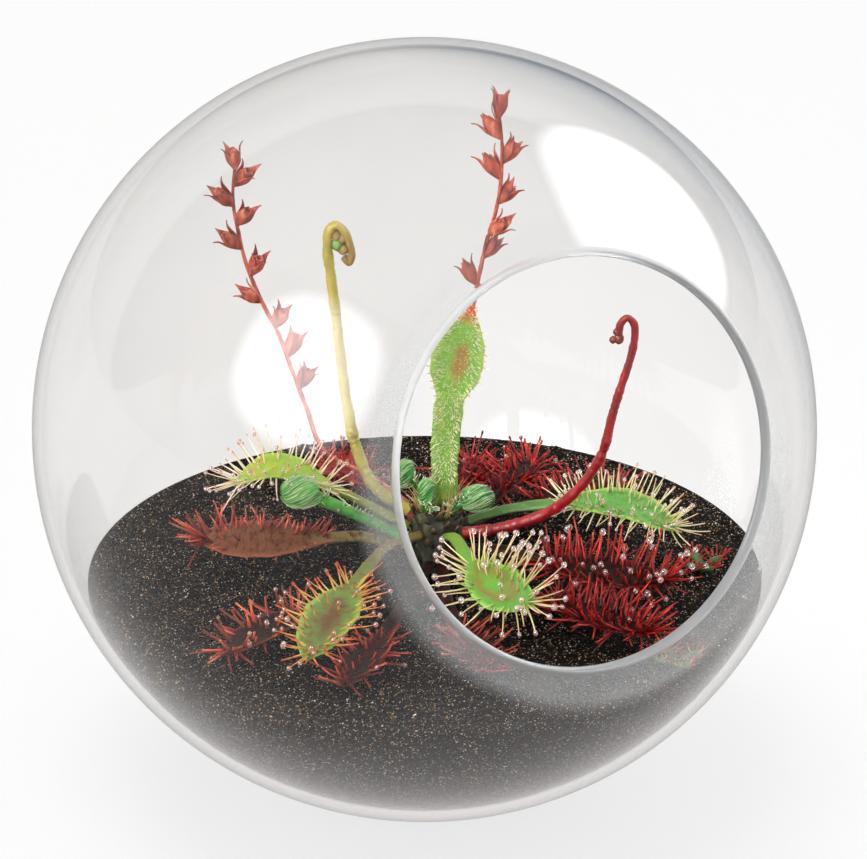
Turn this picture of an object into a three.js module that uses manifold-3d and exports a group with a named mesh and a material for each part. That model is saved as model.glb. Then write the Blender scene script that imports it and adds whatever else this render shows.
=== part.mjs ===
// Glass plant terrarium: a blown glass globe with a tilted round mouth in its side, filled with
// dark soil, in which a sundew grows: a flat rosette of sticky leaves with one upright leaf, rolled
// young leaves in the middle and four flower stalks.
//
// Millimetres, +Z up. The origin is the centre of the flat foot, and the mouth faces -Y.

import * as THREE from 'three';
import { mergeVertices } from 'three/addons/utils/BufferGeometryUtils.js';
import Module from 'manifold-3d';

const wasm = await Module();
wasm.setup();

// ---------------------------------------------------------------- driving dimensions

const GLOBE_RADIUS = 60;
const WALL = 1.6;
const FOOT_RADIUS = 20;
const FLOOR = 1.9;                        // thickness of the glass over the foot
const MOUTH_RADIUS = 30.1;
const MOUTH_TILT = THREE.MathUtils.degToRad(16);
const LIP_NOSE = 1.2;                     // how far the round nose reaches past the full wall

const SOIL_TOP = 31.8;                    // above the table
const SOIL_CLEAR = 0.7;                   // between the soil and the true inner sphere
const SOIL_RELIEF = 0.32;
const GAP = 0.3;                          // between neighbouring pieces
const HOLE_CLEAR = 0.4;                   // round and under what stands in the soil

const PLANT_TURN = THREE.MathUtils.degToRad(-28.4);
const CROWN = { x: 2, y: 4, radius: 4, top: 9.6, root: 7.6 };

const STALK_HALF = 0.8;                   // half the width of a leaf's stalk at the crown
const STALK_THICK = 0.55;                 // half its thickness
const TIP_THICK = 0.36;
const NEEDLE = { neck: 0.2, gland: 0.38, sunk: 0.6, glandLength: 0.5, lowest: 0.9 };
const POD = { waist: 1.45, mouth: 0.95, height: 4.1, sides: 8 };
const SEEDLING = { root: 0.5, depth: 2, height: 1.2, half: 0.95, rise: 1.1 };

const GLOBE_SEGMENTS = 32;
const SOIL_SEGMENTS = 36;

const CENTRE = Math.sqrt(GLOBE_RADIUS ** 2 - FOOT_RADIUS ** 2);
const INNER_RADIUS = GLOBE_RADIUS - WALL;

// The plant's own frame: x to the right and y away from the viewer, who stands a little to the
// left of the mouth, and h, the height above the soil.

// A rosette leaf: its midline from the crown to the tip; where along it the blade begins; half the
// blade's width; the way its upper face looks; and its tentacles' number and length.
const LEAVES = {
  leaf_left_green: {
    path: [[-2.55, 4.64, 6.2], [-8, 5.6, 9], [-14.5, 4, 13.2], [-23.2, 3.8, 16.4], [-29.8, 3.8, 14]],
    blade: 0.42, half: 3.3, face: [-0.05, -0.2, 0.98], tentacles: 19, reach: 5.4, colour: 0x86a53c,
  },
  leaf_left_red: {
    path: [[-2.6, 3.8, 2.4], [-9.5, 3, 5.2], [-16, 0.6, 6], [-26.5, 0, 5.6], [-35.6, 3.6, 5.2]],
    blade: 0.36, half: 3.8, face: [-0.1, -0.4, 0.91], tentacles: 19, reach: 5.4, colour: 0x8a4a2c,
  },
  leaf_front_left_dark: {
    path: [[-1.25, 0.75, 2.4], [-7.5, -5.5, 3], [-14.5, -14.5, 3], [-21.5, -23.5, 3.4], [-30, -32.5, 2.8]],
    blade: 0.58, half: 3.2, face: [-0.1, -0.2, 0.97], tentacles: 15, reach: 5.4, colour: 0x6e3526,
  },
  leaf_front_left_spoon: {
    path: [[-0.64, 0.23, 6.8], [-5.2, -5, 7.6], [-9.4, -14.5, 7.2], [-14, -27, 5.8], [-17.6, -36.5, 3.8]],
    blade: 0.48, half: 4.1, face: [-0.1, -0.52, 0.85], tentacles: 21, reach: 5.2, colour: 0x6f7a35,
  },
  leaf_front_low: {
    path: [[0.8, -0.5, 2.2], [-2, -11.5, 2.4], [-5, -21.5, 2.4], [-8, -32.5, 2.7], [-12.4, -42.5, 2.3]],
    blade: 0.6, half: 3, face: [0, -0.15, 0.99], tentacles: 13, reach: 5, colour: 0x93301f,
  },
  leaf_front_middle: {
    path: [[2.8, -0.6, 2.2], [3.2, -11, 2.3], [4.6, -21, 2.4], [7, -30, 2.6], [10, -38, 2.3]],
    blade: 0.6, half: 2.8, face: [0, -0.15, 0.99], tentacles: 13, reach: 5, colour: 0x93301f,
  },
  leaf_front_spoon: {
    path: [[3.2, -0.5, 6.8], [4.6, -5.5, 9], [7.2, -14.6, 9], [11.2, -21.5, 7.9], [16.6, -25, 7.2]],
    blade: 0.5, half: 3.9, face: [0, -0.68, 0.73], tentacles: 23, reach: 6.4, colour: 0x6c9a33,
  },
  leaf_right_low: {
    path: [[5.1, 0.6, 2.2], [10.5, -4.6, 2], [16.5, -11.5, 2.2], [25.5, -20.5, 2.8], [35, -26.5, 2.9]],
    blade: 0.5, half: 3.2, face: [0, -0.2, 0.98], tentacles: 16, reach: 5.6, colour: 0x7d2320,
  },
  leaf_right_red: {
    path: [[6.4, 2.4, 3.6], [11.8, 0.2, 4.4], [18, -3.6, 4.4], [27.4, -8, 3.8], [38, -10.4, 4.2]],
    blade: 0.36, half: 3.4, face: [0, -0.3, 0.95], tentacles: 21, reach: 6.4, colour: 0x7a2622,
  },
  leaf_right_green: {
    path: [[6.5, 5, 7], [12, 5.4, 8.6], [20.5, 4.4, 10.2], [31, 2.8, 10.4], [39.2, -1.2, 8.4]],
    blade: 0.42, half: 3.3, face: [0.1, -0.35, 0.93], tentacles: 21, reach: 5.2, colour: 0x6d9440,
  },
  leaf_back_side: {
    path: [[5.7, 6.9, 4.4], [11, 10.6, 5.6], [18.5, 14.5, 6], [25, 18, 5.8], [31.5, 21.5, 5.2]],
    blade: 0.45, half: 2.8, face: [0.1, -0.2, 0.97], tentacles: 13, reach: 5, colour: 0x8f2a22,
  },
  leaf_back_right: {
    path: [[4.5, 7.9, 2.6], [8, 13, 4.4], [12, 20, 5.2], [15, 26, 5.4], [17.5, 32, 4.8]],
    blade: 0.45, half: 2.8, face: [0, -0.25, 0.97], tentacles: 13, reach: 5, colour: 0x9c2a24,
  },
  leaf_back_middle: {
    path: [[2.4, 8.7, 4.4], [4, 14, 5.2], [5.5, 20, 5.4], [6.5, 26, 5.4], [7.5, 32, 4.8]],
    blade: 0.45, half: 2.6, face: [0, -0.25, 0.97], tentacles: 13, reach: 5, colour: 0x9c2a24,
  },
  leaf_back_left: {
    path: [[-0.2, 8.1, 4.4], [-4, 13, 6.4], [-8.5, 18.5, 7.4], [-12.5, 23.5, 7.6], [-17, 29, 6.8]],
    blade: 0.42, half: 3.2, face: [0, -0.45, 0.89], tentacles: 14, reach: 5, colour: 0xb8332a,
  },
  leaf_upright: {
    path: [[3.2, 4.8, 9.9], [3.1, 5, 17], [3.6, 5, 25], [5, 5, 33.5], [7.3, 5.3, 43.4]],
    blade: 0.4, half: 4.1, foot: 1.9, stem: 2.3, point: 1.05, face: [-0.15, -0.98, 0.1],
    tentacles: 15, reach: 1.6, colour: 0x7fae3f,
  },
};

// A rolled young leaf: its stalk, and the middle and half sizes of the roll at its end.
const ROLLED = {
  leaf_left_furled: {
    path: [[-2.1, 1.9, 4.6], [-7.6, 1.6, 8.2], [-12.8, -0.2, 11.6], [-17.4, -2.3, 14.8]],
    stem: 1.3, roll: [-19, -3, 15.6], size: [3.1, 2.2, 2.3], colour: 0x74b04a,
  },
  bud_left: {
    path: [[0.5, 6, 9.9], [-0.8, 6.2, 12], [-2.4, 6, 13.6]],
    stem: 0.9, roll: [-3, 6, 14.6], size: [1.8, 1.7, 2.1], colour: 0x4d9a3a,
  },
  bud_middle: {
    path: [[0.6, 2.6, 9.9], [0.4, 2.3, 11.2], [0.4, 2, 12.4]],
    stem: 0.9, roll: [0.4, 2, 13.3], size: [1.5, 1.5, 2], colour: 0x4d9a3a,
  },
  bud_right: {
    path: [[4.1, 2.2, 9.9], [5.2, 1.9, 11.2], [7, 2, 12]],
    stem: 0.9, roll: [8.2, 2, 12.2], size: [2.9, 1.7, 2], colour: 0x4d9a3a,
  },
};

// A flower stalk: its path, its radius at the root and at the tip, and what grows on it. A pod is
// the part of the path it sits at and the side it leans to; a bead is a bud's place and radius.
const STALKS = {
  stalk_left_pods: {
    path: [[-1.5, 7, 8.2], [-8, 10, 12], [-15.7, 12, 15.7], [-18.3, 14, 21.9], [-20.6, 15, 28.1],
      [-22.9, 16, 34.4], [-24.9, 16, 38.6], [-27.5, 17, 44.9], [-28.6, 17, 49.9], [-29.5, 17, 55.8],
      [-29.1, 17, 61.4]],
    root: 0.6, tip: 0.35, steps: 22, colour: 0x8a3a30,
    pods: [[0.42, 1], [0.5, 1], [0.58, 1], [0.65, -1], [0.72, 1], [0.79, -1], [0.85, 1], [0.9, -1],
      [0.95, 1], [1, -0.3]],
  },
  stalk_middle_pods: {
    path: [[3.95, 8.15, 8.6], [4.6, 9, 20], [5.8, 9.3, 32], [7.6, 9.3, 41.9], [8.5, 9.6, 47],
      [9.6, 10, 52.2], [10.8, 10.5, 56.2], [11.6, 11, 61], [11.8, 11.5, 66.6], [11.3, 12, 71.6]],
    root: 0.6, tip: 0.35, steps: 20, colour: 0x8a3a30,
    pods: [[0.57, -1], [0.64, 1], [0.7, 1], [0.78, 1], [0.84, -1], [0.88, 1], [0.94, -1], [1, 0.3]],
  },
  stalk_pale: {
    path: [[-2.4, 5.2, 8.8], [-7.6, 5.6, 12.4], [-10.7, 7, 19], [-12, 7, 26.2], [-12.8, 7, 33.1],
      [-13.5, 7, 40.1], [-14.3, 7, 47.3], [-14.8, 7, 52.2], [-14.6, 7, 54.8], [-13.6, 7, 56],
      [-12.3, 7, 55.2], [-11.2, 7, 52.8], [-10.8, 7, 50.6], [-11.3, 7, 49.2], [-12.3, 7, 50.2]],
    root: 0.95, tip: 0.7, steps: 34, colour: 0xc9c27a,
    beads: [[-13.4, 7, 52.6, 0.95]],
  },
  stalk_red: {
    path: [[5.9, 1.35, 6.6], [12, 1.6, 7.4], [18.5, 1, 10], [22.3, -1, 13.8], [25.4, -2, 18.1],
      [27.4, -2.5, 22.5], [28.6, -3, 28.3], [29.7, -3, 32.5], [31.4, -3, 38.5], [31.9, -3, 41.9],
      [31.7, -3, 43.7], [30.7, -3, 44.6], [29.7, -3, 43.6], [29.5, -3, 41.6]],
    root: 0.95, tip: 0.55, steps: 34, colour: 0x9c1f28,
    beads: [[29.5, -3, 41.2, 0.8], [28.6, -3, 41, 0.55], [29.2, -3, 42.3, 0.6]],
  },
};

// A seedling: where it stands, and its leaves' number and length.
const SEEDLINGS = {
  seedling_right: { x: 43, y: 1.2, leaves: 4, length: 3.4, colour: 0x4f7f3a },
  seedling_front: { x: 37.5, y: -31.5, leaves: 4, length: 3.6, colour: 0x7c9a3c },
};

// ---------------------------------------------------------------- small helpers

const FULL_TURN = 2 * Math.PI;
const UP = new THREE.Vector3(0, 1, 0);    // the way that a turned or round shape is made along
const vec = (point) => new THREE.Vector3(...point);
const flat = (point) => new THREE.Vector2(...point);
const mix = THREE.MathUtils.lerp;
const evenly = (steps) => Array.from({ length: steps + 1 }, (_, i) => i / steps);

let seed = 20260;
function random() {
  seed = (seed * 1664525 + 1013904223) % 4294967296;
  return seed / 4294967296;
}

// A closed geometry as a solid that can be cut and joined.
function solid(geometry) {
  geometry.deleteAttribute('normal');
  geometry.deleteAttribute('uv');
  const merged = mergeVertices(geometry, 1e-4);
  return new wasm.Manifold(new wasm.Mesh({
    numProp: 3,
    vertProperties: Float32Array.from(merged.attributes.position.array),
    triVerts: Uint32Array.from(merged.index.array),
  }));
}

// Joins bodies into one, and drops a loose scrap that a cut may leave.
function fuse(bodies) {
  const whole = bodies.reduce((sum, body) => sum.add(body));
  return whole.decompose().sort((a, b) => b.volume() - a.volume())[0];
}

function mesh(name, body, colour, roughness = 0.5, extra = {}) {
  const data = body.getMesh();
  const geometry = new THREE.BufferGeometry();
  geometry.setAttribute('position', new THREE.BufferAttribute(Float32Array.from(data.vertProperties), 3));
  geometry.setIndex(Array.from(data.triVerts));
  const material = new THREE.MeshStandardMaterial({ color: colour, roughness, metalness: 0, ...extra });
  const made = new THREE.Mesh(geometry, material);
  made.name = name;
  return made;
}

// Moves every vertex of a geometry to where the rule puts it.
function reshape(geometry, rule) {
  const position = geometry.attributes.position;
  const point = new THREE.Vector3();
  for (let i = 0; i < position.count; i += 1) {
    point.fromBufferAttribute(position, i);
    rule(point);
    position.setXYZ(i, point.x, point.y, point.z);
  }
  return geometry;
}

// Stands a geometry that was made along UP at a root, along a way.
function stand(geometry, root, way) {
  geometry.applyQuaternion(new THREE.Quaternion().setFromUnitVectors(UP, way));
  geometry.translate(root.x, root.y, root.z);
  return geometry;
}

// ---------------------------------------------------------------- keeping neighbours clear

// Every limb is also noted as a chain of round-ended rods. A new tentacle is placed only where it
// stays a gap away from all rods of the other nodes.
const rods = [];

function addRod(owner, from, to, radius) {
  rods.push({ owner, from: from.clone(), to: to.clone(), radius });
}

// The shortest distance between two stretches, from a to b and from c to d.
function distance(a, b, c, d) {
  const first = new THREE.Vector3().subVectors(b, a);
  const second = new THREE.Vector3().subVectors(d, c);
  const between = new THREE.Vector3().subVectors(a, c);
  const firstLength = first.lengthSq();
  const secondLength = second.lengthSq();
  const across = first.dot(second);
  const alongFirst = first.dot(between);
  const alongSecond = second.dot(between);
  const spread = firstLength * secondLength - across * across;
  const guess = (across * alongSecond - alongFirst * secondLength) / Math.max(spread, 1e-9);
  const start = THREE.MathUtils.clamp(guess, 0, 1);
  const t = THREE.MathUtils.clamp((across * start + alongSecond) / secondLength, 0, 1);
  const s = THREE.MathUtils.clamp((across * t - alongFirst) / firstLength, 0, 1);
  return between.addScaledVector(first, s).addScaledVector(second, -t).length();
}

function isClear(owner, from, to, radius) {
  return rods.every((rod) => rod.owner === owner
    || distance(from, to, rod.from, rod.to) > rod.radius + radius + GAP);
}

// ---------------------------------------------------------------- the globe

// The wall's outline in one half plane: x is the distance from the mouth's axis, y runs along it.
// At the mouth the wall ends in a round nose.
function globeOutline() {
  const at = (radius, angle) => flat([radius * Math.sin(angle), radius * Math.cos(angle)]);
  const half = WALL / 2;
  const lipRadius = GLOBE_RADIUS - half;               // of the middle of the wall
  const noseAngle = Math.asin(MOUTH_RADIUS / lipRadius) + LIP_NOSE / lipRadius;
  const arc = (radius, first, last, steps) => evenly(steps).slice(1)
    .map((share) => at(radius, mix(first, last, share)));
  const nose = evenly(8).slice(1).map((share) => {
    const turn = Math.PI * (0.5 - share);
    return at(lipRadius + half * Math.sin(turn), noseAngle - (LIP_NOSE / lipRadius) * Math.cos(turn));
  });
  return [
    flat([0, -GLOBE_RADIUS]),
    ...arc(GLOBE_RADIUS, Math.PI, noseAngle, 15),
    ...nose,
    ...arc(INNER_RADIUS, noseAngle, Math.PI, 15).slice(0, -1),
    flat([0, -INNER_RADIUS]),
  ];
}

function makeGlobe() {
  const shell = new THREE.LatheGeometry(globeOutline(), GLOBE_SEGMENTS);
  shell.rotateX(Math.PI - MOUTH_TILT);
  shell.translate(0, 0, CENTRE);

  // The foot: a floor of glass let well into the wall all round, and everything cut flat below.
  const spare = 1;
  const [above, under] = [FOOT_RADIUS + 2.4, FOOT_RADIUS - 3.4];
  const floor = new THREE.CylinderGeometry(above, under, FLOOR + spare, GLOBE_SEGMENTS);
  floor.rotateX(Math.PI / 2);
  floor.translate(0, 0, (FLOOR - spare) / 2);
  const cutter = new THREE.BoxGeometry(2 * GLOBE_RADIUS, 2 * GLOBE_RADIUS, 2 * GLOBE_RADIUS);
  cutter.translate(0, 0, -GLOBE_RADIUS);
  const body = solid(shell).add(solid(floor)).subtract(solid(cutter));
  return mesh('glass_globe', body, 0xeef4f6, 0.05, { transparent: true, opacity: 0.3 });
}

// ---------------------------------------------------------------- the soil

function soilRelief(x, y) {
  const coarse = Math.sin(0.61 * x + 1.3) * Math.cos(0.53 * y - 0.4);
  const fine = Math.sin(1.37 * x - 0.9 * y) * Math.cos(1.1 * x + 1.7 * y);
  return SOIL_RELIEF * (coarse + 0.6 * fine);
}

// A plain round hole from above the soil down to a depth.
function pit(x, y, radius, depth) {
  const above = 2;
  const geometry = new THREE.CylinderGeometry(radius, radius, depth + above, 14);
  geometry.rotateX(Math.PI / 2);
  geometry.translate(x, y, (above - depth) / 2);
  return solid(geometry);
}

function makeSoil() {
  const radius = INNER_RADIUS - SOIL_CLEAR;
  const drop = CENTRE - SOIL_TOP;                      // the soil's top below the globe's centre
  const bottom = CENTRE - FLOOR - GAP;                 // the soil's bottom below it
  const first = Math.acos(bottom / radius);
  const last = Math.acos(drop / radius);
  const rim = radius * Math.sin(last);
  const bowl = evenly(6).map((share) => {
    const angle = mix(first, last, share);
    return flat([radius * Math.sin(angle), -radius * Math.cos(angle)]);
  });
  const top = evenly(7).slice(1).map((share) => flat([rim * (1 - share), -drop]));
  const outline = [flat([0, -bottom]), ...bowl, ...top];
  const geometry = new THREE.LatheGeometry(outline, SOIL_SEGMENTS);
  geometry.rotateX(Math.PI / 2);
  geometry.translate(0, 0, drop);
  reshape(geometry, (point) => {
    const onTop = Math.abs(point.z) < 1e-3 && Math.hypot(point.x, point.y) < 0.98 * rim;
    point.z += onTop ? soilRelief(point.x, point.y) : 0;
  });
  let body = solid(geometry);
  body = body.subtract(pit(CROWN.x, CROWN.y, CROWN.radius + HOLE_CLEAR, CROWN.root + HOLE_CLEAR));
  for (const { x, y } of Object.values(SEEDLINGS)) {
    body = body.subtract(pit(x, y, SEEDLING.root + HOLE_CLEAR, SEEDLING.depth + HOLE_CLEAR));
  }
  return mesh('soil', body, 0x1c1815, 0.9);
}

// ---------------------------------------------------------------- limbs swept along a curve

// A limb is a curve, the half width, half thickness and hollowing of its section at a part of its
// length, and the way that its upper face looks.
function makeLimb(path, section, face) {
  const curve = new THREE.CatmullRomCurve3(path.map(vec), false, 'centripetal');
  return { curve, section, face: vec(face).normalize() };
}

function frameAt(limb, part) {
  const middle = limb.curve.getPointAt(part);
  const along = limb.curve.getTangentAt(part);
  const normal = limb.face.clone().addScaledVector(along, -limb.face.dot(along)).normalize();
  const side = new THREE.Vector3().crossVectors(along, normal);
  return { middle, along, normal, side };
}

// A closed limb: a cylinder whose rings are laid across the curve, each with its own section, at
// the given parts of the curve's length.
function sweep(limb, sides, stations) {
  const steps = stations.length - 1;
  const geometry = new THREE.CylinderGeometry(1, 1, 1, sides, steps, false, Math.PI / 2);
  return solid(reshape(geometry, (point) => {
    const part = stations[Math.round((point.y + 0.5) * steps)];
    const { middle, normal, side } = frameAt(limb, part);
    const { half, thick, cup } = limb.section(part);
    middle.addScaledVector(side, point.x * half);
    middle.addScaledVector(normal, point.z * thick + cup * half * point.x ** 2);
    point.copy(middle);
  }));
}

// Notes a limb as rods: one row along a thin limb, and several side by side along a blade.
function noteLimb(name, limb, steps) {
  for (let i = 0; i < steps; i += 1) {
    const first = frameAt(limb, i / steps);
    const next = frameAt(limb, (i + 1) / steps);
    const firstHalf = limb.section(i / steps).half;
    const nextHalf = limb.section((i + 1) / steps).half;
    const half = Math.max(firstHalf, nextHalf);
    const isBlade = half > 1.3;
    const lanes = isBlade ? [-0.86, -0.43, 0, 0.43, 0.86] : [0];
    const radius = isBlade ? Math.max(0.6, 0.24 * half) : half;
    for (const lane of lanes) {
      const from = first.middle.clone().addScaledVector(first.side, lane * firstHalf);
      const to = next.middle.clone().addScaledVector(next.side, lane * nextHalf);
      addRod(name, from, to, radius);
    }
  }
}

// One tentacle: a three-sided needle that widens to a sticky gland, its root sunk in the limb.
function tentacle(from, to) {
  const length = from.distanceTo(to);
  const outline = [
    [0, 0],
    [NEEDLE.neck, NEEDLE.sunk],
    [NEEDLE.gland, length - NEEDLE.glandLength],
    [0, length],
  ];
  const geometry = new THREE.LatheGeometry(outline.map(flat), 3);
  return solid(stand(geometry, from, new THREE.Vector3().subVectors(to, from).normalize()));
}

// Tries a tentacle at its full length, then shorter, and leaves it out where nothing is clear.
function growTentacle(name, from, way, length) {
  for (const share of [1, 0.8, 0.6, 0.42]) {
    const to = from.clone().addScaledVector(way, length * share);
    const start = from.clone().addScaledVector(way, 1.5 * NEEDLE.sunk);
    if (to.z > NEEDLE.lowest && isClear(name, start, to, NEEDLE.gland)) {
      addRod(name, start, to, NEEDLE.gland);
      return [tentacle(from, to)];
    }
  }
  return [];
}

// ---------------------------------------------------------------- leaves

// A stalk that widens into a slightly hollow blade. The higher the point number, the more pointed
// its tip.
function leafLimb({ path, blade, half, face, foot = STALK_HALF, stem = 1.15, point = 0.65 }) {
  return makeLimb(path, (part) => {
    if (part < blade) {
      return { half: mix(foot, stem, part / blade), thick: STALK_THICK, cup: 0 };
    }
    const s = (part - blade) / (1 - blade);
    const bulge = half * Math.max(0, Math.sin(Math.PI * s ** 1.15)) ** point;
    return {
      half: Math.max(mix(stem, TIP_THICK, s ** 2), bulge),
      thick: mix(STALK_THICK, TIP_THICK, s),
      cup: 0.2 * Math.min(1, 4 * s, 4 * (1 - s)),
    };
  }, face);
}

// Rings of a leaf: few along the stalk, and closer towards the blade's round tip.
function leafStations(blade) {
  const onBlade = [0.13, 0.33, 0.56, 0.77, 0.92, 1].map((s) => mix(blade, 1, s));
  return [0, 0.5 * blade, blade, ...onBlade];
}

// Where a leaf's tentacles stand: rays round the blade's edge, then upright ones on its face.
const EDGE = { share: 0.72, reach: 0.84, lane: 0.72 };
const FACE = { reach: 0.45, lane: 0.42 };
const FAN = 2.65;                         // how far round from the tip the rays go, each way

function leafTentacles(name, leaf, limb) {
  const rays = Math.round(EDGE.share * leaf.tentacles);
  const bladeLength = limb.curve.getLength() * (1 - leaf.blade);
  return evenly(leaf.tentacles - 1).flatMap((_, i) => {
    const isRay = i < rays;
    const zone = isRay ? EDGE : FACE;
    const fan = isRay ? (i + 0.5) / rays : (i - rays + 0.5) / (leaf.tentacles - rays);
    const angle = mix(-FAN, FAN, fan);
    const part = mix(leaf.blade, 1, 0.5 + 0.5 * zone.reach * Math.cos(angle));
    const { middle, along, normal, side } = frameAt(limb, part);
    const { half, cup } = limb.section(part);
    const lane = Math.sin(angle) * zone.lane;
    const from = middle.addScaledVector(side, lane * half).addScaledVector(normal, cup * half * lane ** 2);
    const lift = isRay ? (i % 2 ? 0.75 : 0.22) + 0.2 * random() : 1.6 + 0.5 * random();
    const way = new THREE.Vector3()
      .addScaledVector(along, Math.cos(angle) * (leaf.half / bladeLength) * 2.4)
      .addScaledVector(side, Math.sin(angle))
      .normalize()
      .addScaledVector(normal, lift)
      .normalize();
    const reach = leaf.reach * (isRay ? mix(0.85, 1.12, random()) : mix(0.55, 0.75, random()));
    return growTentacle(name, from, way, reach + NEEDLE.sunk);
  });
}

function makeLeaf(name, leaf, limb) {
  const blade = sweep(limb, 6, leafStations(leaf.blade));
  return mesh(name, fuse([blade, ...leafTentacles(name, leaf, limb)]), leaf.colour);
}

// ---------------------------------------------------------------- rolled young leaves

function rolledLimb({ path, stem }) {
  return makeLimb(path, (part) => ({
    half: mix(STALK_HALF, stem, part),
    thick: mix(STALK_THICK, 0.8, part),
    cup: 0,
  }), [0, -0.5, 0.86]);
}

// The roll: an egg with the leaf's edge showing as ridges that run round it.
function rollBody({ roll, size }) {
  const ridges = 5;
  const ridgeHeight = 0.09;
  return solid(reshape(new THREE.SphereGeometry(1, 8, 6), (point) => {
    const turn = Math.atan2(point.z, point.y);
    const ridge = 1 + ridgeHeight * Math.cos(ridges * turn) * (1 - point.x ** 2);
    point.multiply(vec(size)).multiplyScalar(ridge).add(vec(roll));
  }));
}

// Short hairs that stand out of the roll, spread evenly over it by the golden turn.
function rollHairs(name, { roll, size }) {
  const count = 7;
  const goldenTurn = 2.4;
  return evenly(count - 1).flatMap((share, i) => {
    const rise = mix(-0.13, 0.87, share);
    const out = Math.sqrt(1 - rise * rise);
    const way = vec([Math.cos(goldenTurn * i) * out, Math.sin(goldenTurn * i) * out, rise]);
    const from = vec(roll).addScaledVector(way.clone().multiply(vec(size)), 0.8);
    return growTentacle(name, from, way, 1.9);
  });
}

function makeRolled(name, young, limb) {
  const stem = sweep(limb, 6, evenly(5));
  return mesh(name, fuse([stem, rollBody(young), ...rollHairs(name, young)]), young.colour);
}

// ---------------------------------------------------------------- flower stalks

function stalkLimb({ path, root, tip }) {
  return makeLimb(path, (part) => {
    const radius = mix(root, tip, part);
    return { half: radius, thick: radius, cup: 0 };
  }, [0, 1, 0]);
}

// A dry seed pod: a small urn with pointed sepals standing round its mouth.
function pod(limb, part, lean, depth) {
  const outline = [[0, 0], [POD.waist, 1.4], [POD.mouth, POD.height], [0, 2.1]];
  const geometry = new THREE.LatheGeometry(outline.map(flat), POD.sides);
  reshape(geometry, (point) => {
    const isRim = Math.abs(point.y - POD.height) < 1e-3;
    const place = Math.round((Math.atan2(point.x, point.z) / FULL_TURN + 1) * POD.sides);
    if (isRim) {
      const isTooth = place % 2 === 0;
      point.multiply(isTooth ? vec([1.25, 1.1, 1.25]) : vec([0.9, 0.76, 0.9]));
    }
  });
  const { middle, along } = frameAt(limb, part);
  const way = along.addScaledVector(vec([1, depth, 0]), 0.75 * lean).normalize();
  const isLast = part === 1;
  return solid(stand(geometry, middle.addScaledVector(way, isLast ? -0.6 : 0.1), way));
}

function bead([x, y, z, radius]) {
  const geometry = new THREE.SphereGeometry(radius, 7, 5);
  geometry.translate(x, y, z);
  return solid(geometry);
}

function makeStalk(name, stalk, limb) {
  const stem = sweep(limb, 5, evenly(stalk.steps));
  const pods = (stalk.pods ?? []).map(([part, lean], i) => pod(limb, part, lean, i % 2 ? 0.5 : -0.5));
  const beads = (stalk.beads ?? []).map(bead);
  return mesh(name, fuse([stem, ...pods, ...beads]), stalk.colour, 0.6);
}

// ---------------------------------------------------------------- crown and seedlings

// The short stem: it tapers to a root in the soil, is grooved where the leaves grow from it, and
// has papery scales round its top, where no stalk is in their way.
function makeCrown() {
  const grooves = 9;
  const stem = reshape(new THREE.CylinderGeometry(1, 1, 1, 18, 5), (point) => {
    const share = point.y + 0.5;
    const angle = Math.atan2(point.z, point.x);
    const height = mix(-CROWN.root, CROWN.top, share);
    const isRoot = height < 0;
    const taper = isRoot ? mix(0.45, 1, 1 + height / CROWN.root) : 1;
    const groove = isRoot ? 0 : 0.175 * (1 - Math.cos(grooves * angle));
    const bevel = share > 0.95 ? 0.88 : 1;
    const radius = Math.hypot(point.x, point.z) * (CROWN.radius - groove) * taper * bevel;
    point.set(CROWN.x + radius * Math.cos(angle), CROWN.y - radius * Math.sin(angle), height);
  });
  const count = 12;
  const scales = evenly(count).slice(1).flatMap((share, i) => {
    const out = vec([Math.cos(FULL_TURN * share), Math.sin(FULL_TURN * share), 0]);
    const below = i % 2 ? 1.2 : 3.4;
    const from = vec([CROWN.x, CROWN.y, CROWN.top - below]).addScaledVector(out, CROWN.radius - 0.9);
    return growTentacle('crown', from, out.setZ(1.1).normalize(), 4.2);
  });
  return mesh('crown', fuse([solid(stem), ...scales]), 0x5d4a2c, 0.8);
}

function makeSeedling(name, { x, y, leaves, length, colour }) {
  const root = new THREE.CylinderGeometry(1.5 * SEEDLING.root, SEEDLING.root, SEEDLING.depth + SEEDLING.height, 7);
  root.rotateX(Math.PI / 2);
  root.translate(x, y, (SEEDLING.height - SEEDLING.depth) / 2);
  const blades = evenly(leaves).slice(1).map((share) => {
    const turn = FULL_TURN * share + 0.4;
    const at = (reach, height) => [x + reach * Math.cos(turn), y + reach * Math.sin(turn), height];
    const path = [at(0, 0.9), at(0.5 * length, 1.5), at(length, 0.9 + SEEDLING.rise)];
    const limb = makeLimb(path, (part) => ({
      half: mix(0.4, SEEDLING.half, Math.sin(Math.PI * part ** 1.6)),
      thick: TIP_THICK,
      cup: 0,
    }), [0, 0, 1]);
    return sweep(limb, 6, [0, 0.35, 0.6, 0.85, 1]);
  });
  return mesh(name, fuse([solid(root), ...blades]), colour);
}

// ---------------------------------------------------------------- planting

// All limbs are noted first, so that each tentacle keeps clear of those that are made after it.
function noteAll(table, makeLimbOf, steps) {
  return Object.entries(table).map(([name, row]) => {
    const limb = makeLimbOf(row);
    noteLimb(name, limb, steps);
    return [name, row, limb];
  });
}

const leaves = noteAll(LEAVES, leafLimb, 12);
const rolled = noteAll(ROLLED, rolledLimb, 8);
const stalks = noteAll(STALKS, stalkLimb, 30);
for (const [name, { roll, size }] of rolled) {
  const out = vec([0.4 * size[0], 0, 0]);
  addRod(name, vec(roll).sub(out), vec(roll).add(out), Math.max(size[1], size[2]));
}
const crownFoot = vec([CROWN.x, CROWN.y, -CROWN.root]);
const crownHead = vec([CROWN.x, CROWN.y, CROWN.top - CROWN.radius]);
addRod('crown', crownFoot, crownHead, CROWN.radius);

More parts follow.
